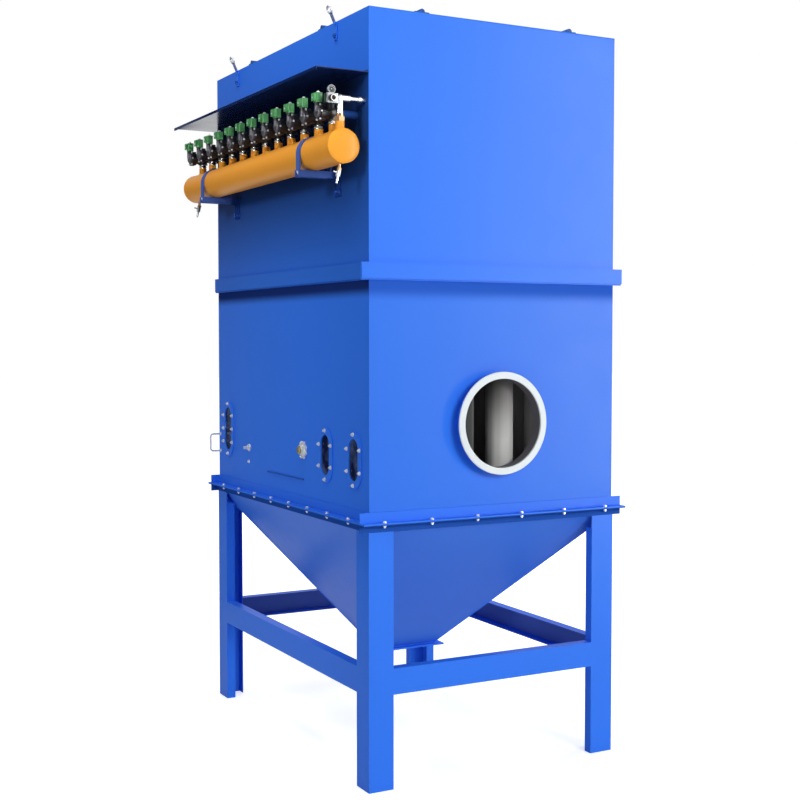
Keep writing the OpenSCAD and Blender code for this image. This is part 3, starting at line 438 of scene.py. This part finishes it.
# what is not named here is plain blue
FINISHES = {
    "beam_back": inner_back, "beam_right": inner_right,
    "hopper_front": hopper_blue, "hopper_left": hopper_blue,
    "hopper_back": hopper_back_blue, "hopper_right": hopper_right_blue,
    "hopper_angles_ends": below_flange, "hopper_angles_sides": below_flange,
    "casing_front": mouth, "casing_back": dusty_back, "casing_left": below_joint,
    "casing_right": dusty_right, "joint_bands_sides": side_band, "plenum_left": blue_with_canopy_shade,
    "roof_panel": chalked, "roof_lugs": lug_blue_painted_shade, "lifting_eyes": eye_finish, "rain_canopy": canopy_navy_painted_shade,
    "inlet_collar": duct, "inlet_flange": white, "tube_sheet": galvanised,
    "hand_hole_panes": glass, "wall_rail": rail_blue, "level_switch": switch_finish,
    "pressure_tap": zinc, "pull_handle": zinc,
    "tank_shell": orange, "tank_ends": orange, "tank_clamps": clamp_blue,
    "valve_stubs": orange, "valve_unions": nickel, "valve_bodies": casting, "valve_coils": nylon,
    "blow_pipes": blue_with_canopy_shade, "air_supply_pipe": riser_steel,
    "air_regulator": regulator_finish, "drain_cocks": cock_finish,
}
for node_name, node in cad.items():
    dress(node.data, FINISHES.get(node_name, blue))


# -------------------------------- fastener and weld trees

def new_tree(name, sockets):
    """A geometry tree with a mesh coming in and the named sizes beside it."""
    tree = bpy.data.node_groups.new(name, "GeometryNodeTree")
    tree.interface.new_socket("Geometry", in_out="INPUT", socket_type="NodeSocketGeometry")
    for label in sockets:
        tree.interface.new_socket(label, in_out="INPUT", socket_type="NodeSocketFloat")
    tree.interface.new_socket("Finish", in_out="INPUT", socket_type="NodeSocketMaterial")
    tree.interface.new_socket("Geometry", in_out="OUTPUT", socket_type="NodeSocketGeometry")
    return tree, add(tree, "NodeGroupInput").outputs


def run_tree(name, source, tree, values):
    """Runs a tree on a mesh and returns the result as a plain piece."""
    holder = new_object(name + "_source", source)
    modifier = holder.modifiers.new("tree", "NODES")
    modifier.node_group = tree
    for item in tree.interface.items_tree:
        if item.in_out == "INPUT" and item.name in values:
            modifier[item.identifier] = values[item.name]
    bpy.context.view_layer.update()
    depsgraph = bpy.context.evaluated_depsgraph_get()
    result = bpy.data.meshes.new_from_object(holder.evaluated_get(depsgraph), depsgraph=depsgraph)
    result.name = name
    holder.modifiers.remove(modifier)
    bpy.data.objects.remove(holder)
    return new_piece(name, result)


def prism(tree, radius, depth, base, sides):
    """A prism, or a cylinder of many sides, that stands on the height base."""
    solid = add(tree, "GeometryNodeMeshCylinder", {"Vertices": sides, "Radius": radius, "Depth": depth})
    # a mesh cylinder is made about its middle
    lift = add(tree, "ShaderNodeMath", {0: depth, 1: 0.5, 2: base}, operation="MULTIPLY_ADD")
    offset = add(tree, "ShaderNodeCombineXYZ", {"Z": lift})
    return add(tree, "GeometryNodeTransform", {"Geometry": solid, "Translation": offset})


def crown(tree, radius, depth, base, sides, top_share):
    """A low frustum that narrows to a share of its radius, standing on the height base."""
    top = add(tree, "ShaderNodeMath", {0: radius, 1: top_share}, operation="MULTIPLY")
    solid = add(tree, "GeometryNodeMeshCone", {
        "Vertices": sides, "Radius Bottom": radius, "Radius Top": top, "Depth": depth})
    offset = add(tree, "ShaderNodeCombineXYZ", {"Z": base})
    return add(tree, "GeometryNodeTransform", {"Geometry": solid, "Translation": offset})


def fastener_tree():
    """A washer, a hexagon head with its chamfered crown and the end of a stud, set at each
    vertex of the mesh that comes in and turned by its attribute 'turn'."""
    tree, given = new_tree("hexagon_fasteners", [
        "Across flats", "Head height", "Washer radius", "Washer thickness", "Stud radius", "Stud length"])
    washer_t, head_h = given["Washer thickness"], given["Head height"]
    corner_r = add(tree, "ShaderNodeMath", {0: given["Across flats"], 1: math.sqrt(3)}, operation="DIVIDE")
    head_top = add(tree, "ShaderNodeMath", {0: washer_t, 1: head_h}, operation="ADD")
    crown_h = add(tree, "ShaderNodeMath", {0: head_h, 1: 0.15}, operation="MULTIPLY")
    joined = add(tree, "GeometryNodeJoinGeometry")
    for part in (prism(tree, given["Washer radius"], washer_t, 0.0, 20),
                 prism(tree, corner_r, head_h, washer_t, 6),
                 crown(tree, corner_r, crown_h, head_top, 6, 0.84),
                 prism(tree, given["Stud radius"], given["Stud length"], head_top, 12)):
        tree.links.new(part.outputs[0], joined.inputs[0])
    turn = add(tree, "GeometryNodeInputNamedAttribute", {"Name": "turn"}, data_type="FLOAT_VECTOR")
    rotation = add(tree, "FunctionNodeEulerToRotation", {0: turn})
    spots = add(tree, "GeometryNodeMeshToPoints", {"Mesh": given["Geometry"]})
    copies = add(tree, "GeometryNodeInstanceOnPoints", {
        "Points": spots, "Instance": joined, "Rotation": rotation})
    solid = add(tree, "GeometryNodeRealizeInstances", {0: copies})
    dressed = add(tree, "GeometryNodeSetMaterial", {"Geometry": solid, "Material": given["Finish"]})
    add(tree, "NodeGroupOutput", {0: dressed})
    return tree


def bead_tree():
    """A weld bead along the edges of the mesh that comes in, swelling at every ripple."""
    tree, given = new_tree("weld_bead", ["Bead radius", "Ripple pitch"])
    line = add(tree, "GeometryNodeMeshToCurve", {"Mesh": given["Geometry"]})
    step = add(tree, "ShaderNodeMath", {0: given["Ripple pitch"], 1: 0.5}, operation="MULTIPLY")
    even = add(tree, "GeometryNodeResampleCurve", {"Curve": line, "Length": step}, mode="LENGTH")
    # every other point is a crest, 1.1 of the bead's radius, and the rest are troughs, 0.88
    count = add(tree, "GeometryNodeInputIndex")
    crest = add(tree, "ShaderNodeMath", {0: count, 1: 2.0}, operation="MODULO")
    swell = add(tree, "ShaderNodeMath", {0: crest, 1: 0.22, 2: 0.88}, operation="MULTIPLY_ADD")
    section = add(tree, "GeometryNodeCurvePrimitiveCircle", {
        "Resolution": 7, "Radius": given["Bead radius"]})
    skin = add(tree, "GeometryNodeCurveToMesh", {
        "Curve": even, "Profile Curve": section, "Scale": swell, "Fill Caps": True})
    smooth = add(tree, "GeometryNodeSetShadeSmooth", {"Geometry": skin})
    solid = add(tree, "GeometryNodeRealizeInstances", {0: smooth})
    dressed = add(tree, "GeometryNodeSetMaterial", {"Geometry": solid, "Material": given["Finish"]})
    add(tree, "NodeGroupOutput", {0: dressed})
    return tree


fastener = fastener_tree()
bead = bead_tree()


def spots_mesh(name, spots):
    """Vertices for the fastener tree. A spot is a place and the way its head points; each is
    turned by its own fixed angle, as hand-tightened bolts are."""
    chance = random.Random(7)
    mesh = bpy.data.meshes.new(name)
    mesh.from_pydata([tuple(place) for place, _ in spots], [], [])
    attribute = mesh.attributes.new("turn", "FLOAT_VECTOR", "POINT")
    for index, (_, aim) in enumerate(spots):
        pointing = Vector(aim).to_track_quat("Z", "Y")
        spin = Euler((0, 0, chance.uniform(0, math.pi / 3))).to_quaternion()
        attribute.data[index].vector = (pointing @ spin).to_euler()
    return mesh


HIDDEN = 0.0001           # a stud this short stays inside the crown of its head


def bolts(name, spots, size, stud_r=None, stud_l=HIDDEN, finish=zinc):
    """size is the width across flats, the head's height, and the washer's radius and
    thickness."""
    flats, head_h, washer_r, washer_t = size
    return run_tree(name, spots_mesh(name, spots), fastener, {
        "Across flats": flats, "Head height": head_h, "Washer radius": washer_r,
        "Washer thickness": washer_t, "Stud radius": stud_r or 0.3 * flats, "Stud length": stud_l,
        "Finish": finish})


def welds(name, paths, radius, pitch, finish):
    """Beads along paths, each a list of points and whether it is closed."""
    mesh = bpy.data.meshes.new(name)
    points, edges = [], []
    for path, closed in paths:
        start = len(points)
        points += [tuple(point) for point in path]
        edges += [(start + i, start + i + 1) for i in range(len(path) - 1)]
        if closed:
            edges.append((len(points) - 1, start))
    mesh.from_pydata(points, edges, [])
    return run_tree(name, mesh, bead, {
        "Bead radius": radius, "Ripple pitch": pitch, "Finish": finish})


# -------------------------------- bolts

# by thread: across flats, head height, washer radius and washer thickness, with most heads a
# little taller than standard so that they show
M3_SCREW = (0.006, 0.002, 0.0038, 0.0006)
M4_SCREW = (0.007, 0.0045, 0.005, 0.0008)
M5_SCREW = (0.008, 0.005, 0.0058, 0.001)
COIL_NUT = (0.012, 0.005, 0.009, 0.001)
M8_BOLT = (0.013, 0.006, 0.010, 0.0015)
M8_NUT = (0.013, 0.0065, 0.010, 0.0015)
M10_BOLT = (0.017, 0.008, 0.012, 0.002)
M8_STUD_R = 0.004
UP, DOWN, LEFT = (0, 0, 1), (0, 0, -1), (-1, 0, 0)


def spread_evenly(count, pitch):
    """Places at an even pitch either side of nought."""
    return [(i - (count - 1) / 2) * pitch for i in range(count)]


def casing_joint_bolts():
    """Bolts through the angles all round: six along each end and eight along each side."""
    bolt_out = 0.031      # bolt line of a 50 mm angle
    places = [(middle + along, y) for along in spread_evenly(6, 0.2435)
              for y in (front - bolt_out, back + bolt_out)]
    places += [(x, along) for along in spread_evenly(8, 0.228)
               for x in (left - bolt_out, right + bolt_out)]
    bolts("flange_bolts", [((x, y, flange_z + PLATE), UP) for x, y in places], M8_BOLT)
    bolts("flange_nuts", [((x, y, flange_z - PLATE), DOWN) for x, y in places], M8_NUT, M8_STUD_R, 0.005)


def hand_hole_bolts():
    """Four bolts beside a short oval and six beside the tall one, with one above and below."""
    oval_r, short_h, tall_h = 0.046, 0.194, 0.240
    bolt_out = 0.020      # from the opening to the bolt line
    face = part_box("hand_hole_rings")[0].x
    short_rise, tall_rise = 0.274, 0.324
    spots = []
    for y, rise, height in ((front + 0.152, short_rise, short_h), (front + 0.458, short_rise, short_h),
                            (back - 0.153, tall_rise, tall_h)):
        z = flange_z + rise
        straight = height / 2 - oval_r
        # the four beside a short oval sit a little low
        beside = (-straight - 0.004, 0.95 * straight) if height == short_h else (-straight, 0.0, straight)
        for s in (-1, 1):
            spots += [((face, y + s * (oval_r + bolt_out), z + up), LEFT) for up in beside]
            spots.append(((face, y, z + s * (height / 2 + bolt_out)), LEFT))
    bolts("hand_hole_bolts", spots, M8_BOLT, M8_STUD_R, 0.004)


def fitting_bolts():
    """The lone bolt under the pressure tap, and a screw in each lobe of the level switch."""
    _, tap_y, tap_z = centre("pressure_tap")
    bolts("tap_bolt", [((left, tap_y + 0.008, tap_z - 0.076), LEFT)], M8_BOLT)
    pad_t, lobe_r = 0.008, 0.008
    switch_low, switch_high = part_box("level_switch")
    _, switch_y, switch_z = centre("level_switch")
    screw_ring = (switch_high.y - switch_low.y) / 2 - lobe_r
    bolts("level_switch_screws", [
        ((left - pad_t, switch_y + screw_ring * math.cos(a + math.pi / 8),
          switch_z + screw_ring * math.sin(a + math.pi / 8)), LEFT) for a in round_the_circle(8)], M5_SCREW)


def valve_bolts():
    """Six screws in each valve cover, a nut on each coil and a screw in each coil's plug."""
    screw_ring = 0.036
    bolts("valve_cover_screws", [
        ((cover_x, y + screw_ring * math.cos(a), valve_z + screw_ring * math.sin(a)), LEFT)
        for y in row_y for a in round_the_circle(6)], M4_SCREW)
    coil_low, coil_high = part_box("valve_coils")
    plug_w, plug_rise = 0.012, 0.019
    coil_x = (coil_low.x + plug_w + coil_high.x) / 2
    bolts("coil_nuts", [((coil_x, y, coil_high.z), UP) for y in row_y], COIL_NUT, 0.004, 0.002)
    bolts("coil_plug_screws", [((coil_low.x, y, coil_low.z + plug_rise), LEFT) for y in row_y], M3_SCREW)


def clamp_and_eye_bolts():
    """Bolts that hold the tank clamps to the wall and their straps down, and one in the strap
    of each lifting eye."""
    half_plate = 0.030
    clamp_low, clamp_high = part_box("tank_clamps")
    clamps = [(y, s) for y in (clamp_low.y + half_plate, clamp_high.y - half_plate) for s in (-1, 1)]
    bolts("clamp_wall_bolts", [
        ((left - PLATE, y + s * 0.020, clamp_low.z + 0.022), LEFT) for y, s in clamps],
        M8_BOLT, finish=rail_blue)
    bolts("clamp_strap_nuts", [
        ((tank_x + s * (tank_r + PLATE / 2), y, tank_low.z - PLATE), DOWN) for y, s in clamps],
        M8_NUT, M8_STUD_R, 0.006)
    eye_inset, bolt_drop = 0.33, 0.066
    washer_out = 0.006    # the strap is 7 mm thick, and half of the 2 mm washer is sunk in it
    bolts("eye_strap_bolts", [
        ((side_x + s * washer_out, y, roof_top - bolt_drop), (s, 0, 0))
        for side_x, s in ((left, -1), (right, 1)) for y in (front + eye_inset, back - eye_inset)],
        M10_BOLT, finish=rail_blue)


casing_joint_bolts()
hand_hole_bolts()
fitting_bolts()
valve_bolts()
clamp_and_eye_bolts()


# -------------------------------- weld beads

CLOSED, OPEN = True, False


def ring(x, y, z, radius, count):
    """A circle in an end wall, about a line along Y."""
    turn_to = Vector((0, 1, 0)).to_track_quat("Z", "Y")
    return [Vector((x, y, z)) + turn_to @ Vector((radius * math.cos(a), radius * math.sin(a), 0))
            for a in round_the_circle(count)], CLOSED


def saddle(y, radius):
    """Where a pipe of that radius stands on top of the tank."""
    return [(tank_x + radius * math.cos(a), y + radius * math.sin(a),
             tank_z + math.sqrt(tank_r ** 2 - (radius * math.cos(a)) ** 2))
            for a in round_the_circle(28)], CLOSED


def hopper_welds():
    """Beads down the four corners of the hopper and round its discharge."""
    skirt_h, rim = 0.030, 0.040
    half_w, half_d = (right - left) / 2, (back - front) / 2
    gate_low, gate_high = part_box("discharge_flange")
    gate_w, gate_d = (gate_high.x - gate_low.x) / 2 - rim, (gate_high.y - gate_low.y) / 2 - rim
    slopes = [([(middle + sx * half_w, sy * half_d, flange_z - skirt_h),
                (middle + sx * gate_w, sy * gate_d, gate_high.z)], OPEN)
              for sx in (-1, 1) for sy in (-1, 1)]
    mouth_line = [(middle + sx * gate_w, sy * gate_d, gate_high.z)
                  for sx, sy in ((-1, -1), (1, -1), (1, 1), (-1, 1))]
    welds("hopper_corner_welds", slopes + [(mouth_line, CLOSED)], 0.0032, 0.006, blue)


def collar_and_tank_welds():
    """Beads round both collars, round the tank's ends, and under the valve stubs and nozzle."""
    outlet_tube_r = 0.204
    _, _, outlet_z = centre("outlet_collar")
    collars = [ring(inlet_x, front, inlet_z, inlet_tube_r, 96),
               ring(middle, back, outlet_z, outlet_tube_r, 96)]
    welds("collar_welds", collars, 0.0035, 0.007, blue)
    sunk = 0.0012         # how deep the middle of the bead lies in the tank's skin
    welds("tank_welds", [ring(tank_x, y, tank_z, tank_r - sunk, 72) for y in (tank_low.y, tank_high.y)],
          0.003, 0.006, orange)
    stub_r, nozzle_r, toe = 0.020, 0.021, 0.0005
    feet = [saddle(y, stub_r + toe) for y in row_y] + [saddle(supply_y, nozzle_r + toe)]
    welds("stub_welds", feet, 0.0022, 0.005, orange)


hopper_welds()
collar_and_tank_welds()


# -------------------------------- filter bags

BAG_R = 0.0675
BAGS_IN_ROW = 6


def bag_levels(length):
    """Heights of a bag's rows of points: close together at its sewn bottom and its cuff, with
    18 even rows between."""
    hem, rows, cuff_start = 0.03, 18, length - 0.045
    even = [hem + (cuff_start - hem) * i / rows for i in range(1, rows + 1)]
    return [0.0, 0.004, 0.012, hem] + even + [length - 0.03, length - 0.02, length - 0.004, length]


def bag_radius(height, length, angle, between, on_seam, phase):
    """The felt's own radius at a height and angle; between runs from 0 on a cage wire to 1 half
    way to the next."""
    if height > length - 0.035:
        return BAG_R - 0.0008                    # the swollen cuff
    if height < 0.02:
        # the sewn bottom, rounded off in its first 2 mm
        return BAG_R - 0.001 - (0.003 if height < 0.002 else 0.0)
    crease = (0.0006 * math.sin(45 * height + phase[0] + 2 * angle)
              + 0.0005 * math.sin(31 * height + phase[1] + 3 * angle))
    r = BAG_R - 0.0006 - 0.0030 * between + crease
    # the lapped seam is 1.6 mm thicker
    return min(BAG_R - 0.0002, r + 0.0016) if on_seam else r


def bag_mesh(name, centres, top, length):
    """Felt tubes drawn in between the ten wires of their cages, with a sewn bottom, a lapped
    seam and a swollen cuff under the sheet; each has its own small creases."""
    chance = random.Random(11)
    wires, per_wire = 10, 3
    around = wires * per_wire
    levels = bag_levels(length)
    points, faces = [], []
    for cx, cy in centres:
        turned_by = chance.uniform(0, 2 * math.pi)
        phase = [chance.uniform(0, 2 * math.pi) for _ in range(3)]
        start = len(points)
        for height in levels:
            for i in range(around):
                angle = turned_by + 2 * math.pi * i / around
                between = 0.5 - 0.5 * math.cos(2 * math.pi * i / per_wire)
                r = bag_radius(height, length, angle, between, i == 0, phase)
                points.append((cx + r * math.cos(angle), cy + r * math.sin(angle), top - length + height))
        for level in range(len(levels) - 1):
            for i in range(around):
                a = start + level * around + i
                b = start + level * around + (i + 1) % around
                faces.append((a, b, b + around, a + around))
        hub = len(points)
        points.append((cx, cy, top - length + 0.003))
        faces += [(start + (i + 1) % around, start + i, hub) for i in range(around)]
    mesh = bpy.data.meshes.new(name)
    mesh.from_pydata(points, [], faces)
    mesh.polygons.foreach_set("use_smooth", [True] * len(mesh.polygons))
    return mesh


bags_low, bags_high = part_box("filter_bags")
bag_pitch = (bags_high.x - bags_low.x - 2 * BAG_R) / (BAGS_IN_ROW - 1)
bag_places = [(bags_low.x + BAG_R + k * bag_pitch, y) for y in row_y for k in range(BAGS_IN_ROW)]
facing_inlet = min(bag_places, key=lambda place: (round(place[1], 3), abs(place[0] - inlet_x)))
felt = needle_felt("grey_needle_felt", "#c4c4c0", "#b0b0ac", "#313331", "#8f8b88",
                   facing_inlet, BAG_R + 0.01, inlet_z)
felt_tubes = bag_mesh("needle_felt_bags", bag_places, bags_high.z, bags_high.z - bags_low.z)
dress(felt_tubes, felt)
bags = new_piece("needle_felt_bags", felt_tubes)
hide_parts("filter_bags")


# -------------------------------- regulator and its gauge

def turned(name, at, profile, finish, sides=48):
    """A part turned about a line that points to the front: profile is (radius, distance in
    front of the place at), from its back edge round to its middle."""
    shape = bmesh.new()
    rows = []
    for r, out in profile:
        angles = round_the_circle(sides) if r else [0.0]
        rows.append([shape.verts.new((at[0] + r * math.cos(a), at[1] - out, at[2] + r * math.sin(a)))
                     for a in angles])
    for inner, outer in zip(rows, rows[1:]):
        for i in range(sides):
            j = (i + 1) % sides
            corners = [(inner, i), (inner, j), (outer, j), (outer, i)]
            unique = list(dict.fromkeys(row[k % len(row)] for row, k in corners))
            if len(unique) > 2:
                shape.faces.new(unique)
    bmesh.ops.recalc_face_normals(shape, faces=shape.faces)
    mesh = bpy.data.meshes.new(name)
    shape.to_mesh(mesh)
    shape.free()
    dress(mesh, finish)
    return new_piece(name, mesh)


def dial_finish(name, at, radius):
    """A black dial under glass with a white scale: ticks every tenth of the sweep, drawn twice
    as wide as real so that they show."""
    finish, tree, xyz = new_finish(name)
    across, up, square = from_centre(tree, xyz, at[0], at[2])
    angle = add(tree, "ShaderNodeMath", {0: across, 1: up}, operation="ARCTAN2")
    reach = add(tree, "ShaderNodeMath", {0: square, 1: 0.5}, operation="POWER")
    # the scale sweeps three quarters of the circle, from 135 degrees left of the top
    half_sweep, ticks = 0.75 * math.pi, 10
    turns = add(tree, "ShaderNodeMath", {0: angle, 1: ticks / (2 * half_sweep)}, operation="MULTIPLY")
    part = add(tree, "ShaderNodeMath", {0: turns}, operation="FRACT")
    tick = add(tree, "ShaderNodeMath", {0: part, 1: 0.22}, operation="LESS_THAN")
    beyond = add(tree, "ShaderNodeMath", {0: reach, 1: 0.66 * radius}, operation="GREATER_THAN")
    within = add(tree, "ShaderNodeMath", {0: reach, 1: 0.86 * radius}, operation="LESS_THAN")
    either_way = add(tree, "ShaderNodeMath", {0: angle}, operation="ABSOLUTE")
    swept = add(tree, "ShaderNodeMath", {0: either_way, 1: half_sweep}, operation="LESS_THAN")
    scale = tick
    for limit in (beyond, within, swept):
        scale = add(tree, "ShaderNodeMath", {0: scale, 1: limit}, operation="MULTIPLY")
    tint = add(tree, "ShaderNodeMix", {SHARE: scale, FROM: linear("#23262a"), TO: linear("#e9e9e4")},
               data_type="RGBA").outputs[MIXED]
    face = add(tree, "ShaderNodeBsdfPrincipled", {
        "Base Color": tint, "Roughness": 0.45, "Specular IOR Level": 0.2, "Coat Weight": 0.15,
        "Coat Roughness": 0.05})
    add(tree, "ShaderNodeOutputMaterial", {"Surface": face})
    return finish


def gauge_and_knob():
    """The gauge's rolled bezel, its dial and needle, and the nut ring round the knob."""
    gauge_r, half_gauge, knob_drop = 0.019, 0.007, 0.021
    face_r = gauge_r - 0.0035
    reg_x = (reg_low.x + reg_high.x) / 2
    gauge_at = (reg_x, supply_y - half_gauge, reg_high.z - gauge_r)
    turned("gauge_bezel", gauge_at, [
        (gauge_r + 0.0006, -0.004), (gauge_r + 0.0006, 0.0008), (gauge_r - 0.0006, 0.0022),
        (face_r + 0.0004, 0.0022), (face_r, 0.0006)], regulator_finish)
    turned("gauge_dial", gauge_at, [(face_r + 0.0004, -0.0002), (face_r, 0.0007), (0.0, 0.0009)],
           dial_finish("black_gauge_dial_under_glass", gauge_at, face_r))
    turned("gauge_needle", gauge_at, [(0.0022, 0.0006), (0.0020, 0.0016), (0.0, 0.0018)],
           white, 16)
    knob_at = (reg_x, reg_low.y, reg_high.z - 2 * gauge_r - knob_drop)
    turned("regulator_knob_ring", knob_at, [
        (0.0135, -0.006), (0.0145, -0.004), (0.0145, 0.0004), (0.0125, 0.0010), (0.0105, 0.0010),
        (0.0100, -0.001)], nickel)


gauge_and_knob()


# -------------------------------- floor, lights and camera

def seen_ray(tree):
    """1 for rays from the camera and for those that gloss or glass sends on, which see the
    white room; 0 for the rest, so that the room adds no light of its own."""
    path = add(tree, "ShaderNodeLightPath").outputs
    seen = path["Is Camera Ray"]
    for other in ("Is Glossy Ray", "Is Transmission Ray"):
        seen = add(tree, "ShaderNodeMath", {0: seen, 1: path[other]}, operation="MAXIMUM").outputs[0]
    return seen


def stage_sheet(name, corners, finish):
    """A flat sheet of the studio, which is no part of the object."""
    mesh = bpy.data.meshes.new(name)
    mesh.from_pydata(corners, [], [(0, 1, 2, 3)])
    mesh.materials.append(finish)
    sheet = new_object(name, mesh)
    return sheet


def floor_finish():
    """White painted studio floor: the lamps light it near the object, where the shadows fall,
    and further out it makes up its own white."""
    finish, tree, xyz = new_finish("white_studio_floor")
    matt = add(tree, "ShaderNodeBsdfDiffuse", {"Color": linear("#e8e8e8")})
    away = add(tree, "ShaderNodeVectorMath", {0: xyz}, operation="LENGTH").outputs["Value"]
    fill = add(tree, "ShaderNodeMapRange", {
        "Value": away, "From Min": 2.5, "From Max": 9.0, "To Min": 0.62, "To Max": 1.0})
    lift = add(tree, "ShaderNodeMath", {0: seen_ray(tree), 1: fill}, operation="MULTIPLY")
    glow = add(tree, "ShaderNodeEmission", {"Strength": lift})
    both = add(tree, "ShaderNodeAddShader", {0: matt, 1: glow})
    add(tree, "ShaderNodeOutputMaterial", {"Surface": both})
    return finish


def flag_finish():
    """Black cloth, dull all over."""
    finish, tree, _ = new_finish("black_flag_cloth")
    cloth = add(tree, "ShaderNodeBsdfDiffuse", {"Color": linear("#141414")})
    add(tree, "ShaderNodeOutputMaterial", {"Surface": cloth})
    return finish


def white_room():
    """A world that is white to look at and lights the object only faintly."""
    world = bpy.data.worlds.new("studio")
    bpy.context.scene.world = world
    world.use_nodes = True
    tree = world.node_tree
    tree.nodes.clear()
    dim = add(tree, "ShaderNodeBackground", {"Color": linear("#f2f5ff"), "Strength": 0.22})
    bright = add(tree, "ShaderNodeBackground", {"Color": linear("#ffffff"), "Strength": 1.0})
    mixed = add(tree, "ShaderNodeMixShader", {0: seen_ray(tree), 1: dim, 2: bright})
    add(tree, "ShaderNodeOutputWorld", {"Surface": mixed})


def lamp(name, at, aim, size, power, spread=180, gloss=False, only_gloss=False):
    """An oval lamp, aimed at a place, with its two widths in metres and its power in watts. The
    paint mirrors it only if gloss or only_gloss is set."""
    light = bpy.data.lights.new(name, "AREA")
    light.shape = "ELLIPSE"
    light.size, light.size_y = size
    light.energy = power
    light.spread = math.radians(spread)
    holder = new_object(name, light)
    holder.location = at
    holder.rotation_euler = (Vector(aim) - Vector(at)).to_track_quat("-Z", "Y").to_euler()
    holder.visible_camera = False
    holder.visible_glossy = holder.visible_transmission = only_gloss or gloss
    holder.visible_diffuse = not only_gloss


def place_camera(at, heading, down, lens):
    """The camera's heading is in degrees from +Y towards +X, and down in degrees below level."""
    camera = bpy.data.cameras.new("camera")
    camera.lens = lens
    camera.sensor_width = 36.0
    holder = new_object("camera", camera)
    holder.location = at
    yaw, dip = math.radians(heading), math.radians(down)
    look = Vector((math.sin(yaw) * math.cos(dip), math.cos(yaw) * math.cos(dip), -math.sin(dip)))
    holder.rotation_euler = look.to_track_quat("-Z", "Y").to_euler()
    bpy.context.scene.camera = holder


FLOOR_HALF = 60
stage_sheet("studio_floor", [(-FLOOR_HALF, -FLOOR_HALF, 0), (FLOOR_HALF, -FLOOR_HALF, 0),
                             (FLOOR_HALF, FLOOR_HALF, 0), (-FLOOR_HALF, FLOOR_HALF, 0)], floor_finish())
# a black flag keeps the white room out of the sheen of the left side
FLAG_TOP = 5.5
flag = stage_sheet("black_flag", [(-1.3, 3.2, 0), (-6.0, 2.4, 0), (-6.0, 2.4, FLAG_TOP),
                                  (-1.3, 3.2, FLAG_TOP)], flag_finish())
flag.visible_camera = flag.visible_diffuse = flag.visible_transmission = flag.visible_shadow = False
white_room()
lamp("front_key", (1.6, -12.0, 5.0), (middle, 0, 1.9), (6.0, 4.5), 925)
lamp("right_fill", (7.8, 1.2, 4.2), (middle, 0, 1.8), (3.0, 3.0), 300)
lamp("back_fill", (2.4, 8.8, 4.5), (middle, 0, 1.8), (4.0, 4.0), 260)
lamp("top_left_fill", (-2.3, -0.8, 7.4), (left, 0, 2.6), (1.6, 1.6), 115, gloss=True)
lamp("low_left_fill", (-5.0, -2.0, 1.0), (left, 0, 0.7), (1.2, 1.2), 2.8, spread=45)
lamp("tank_fill", (-4.8, -2.6, 4.3), (left, 0, 3.15), (1.2, 1.2), 8, spread=50, gloss=True)
# a tall window, seen only as a soft sheen in the paint
lamp("window_sheen", (5.9, -7.4, 2.9), (right, front, 2.7), (1.2, 11.0), 3600, only_gloss=True)
place_camera((-3.1944, -6.1382, 2.0417), heading=28.202, down=2.629, lens=58.94)
bpy.context.scene.view_settings.view_transform = "Standard"
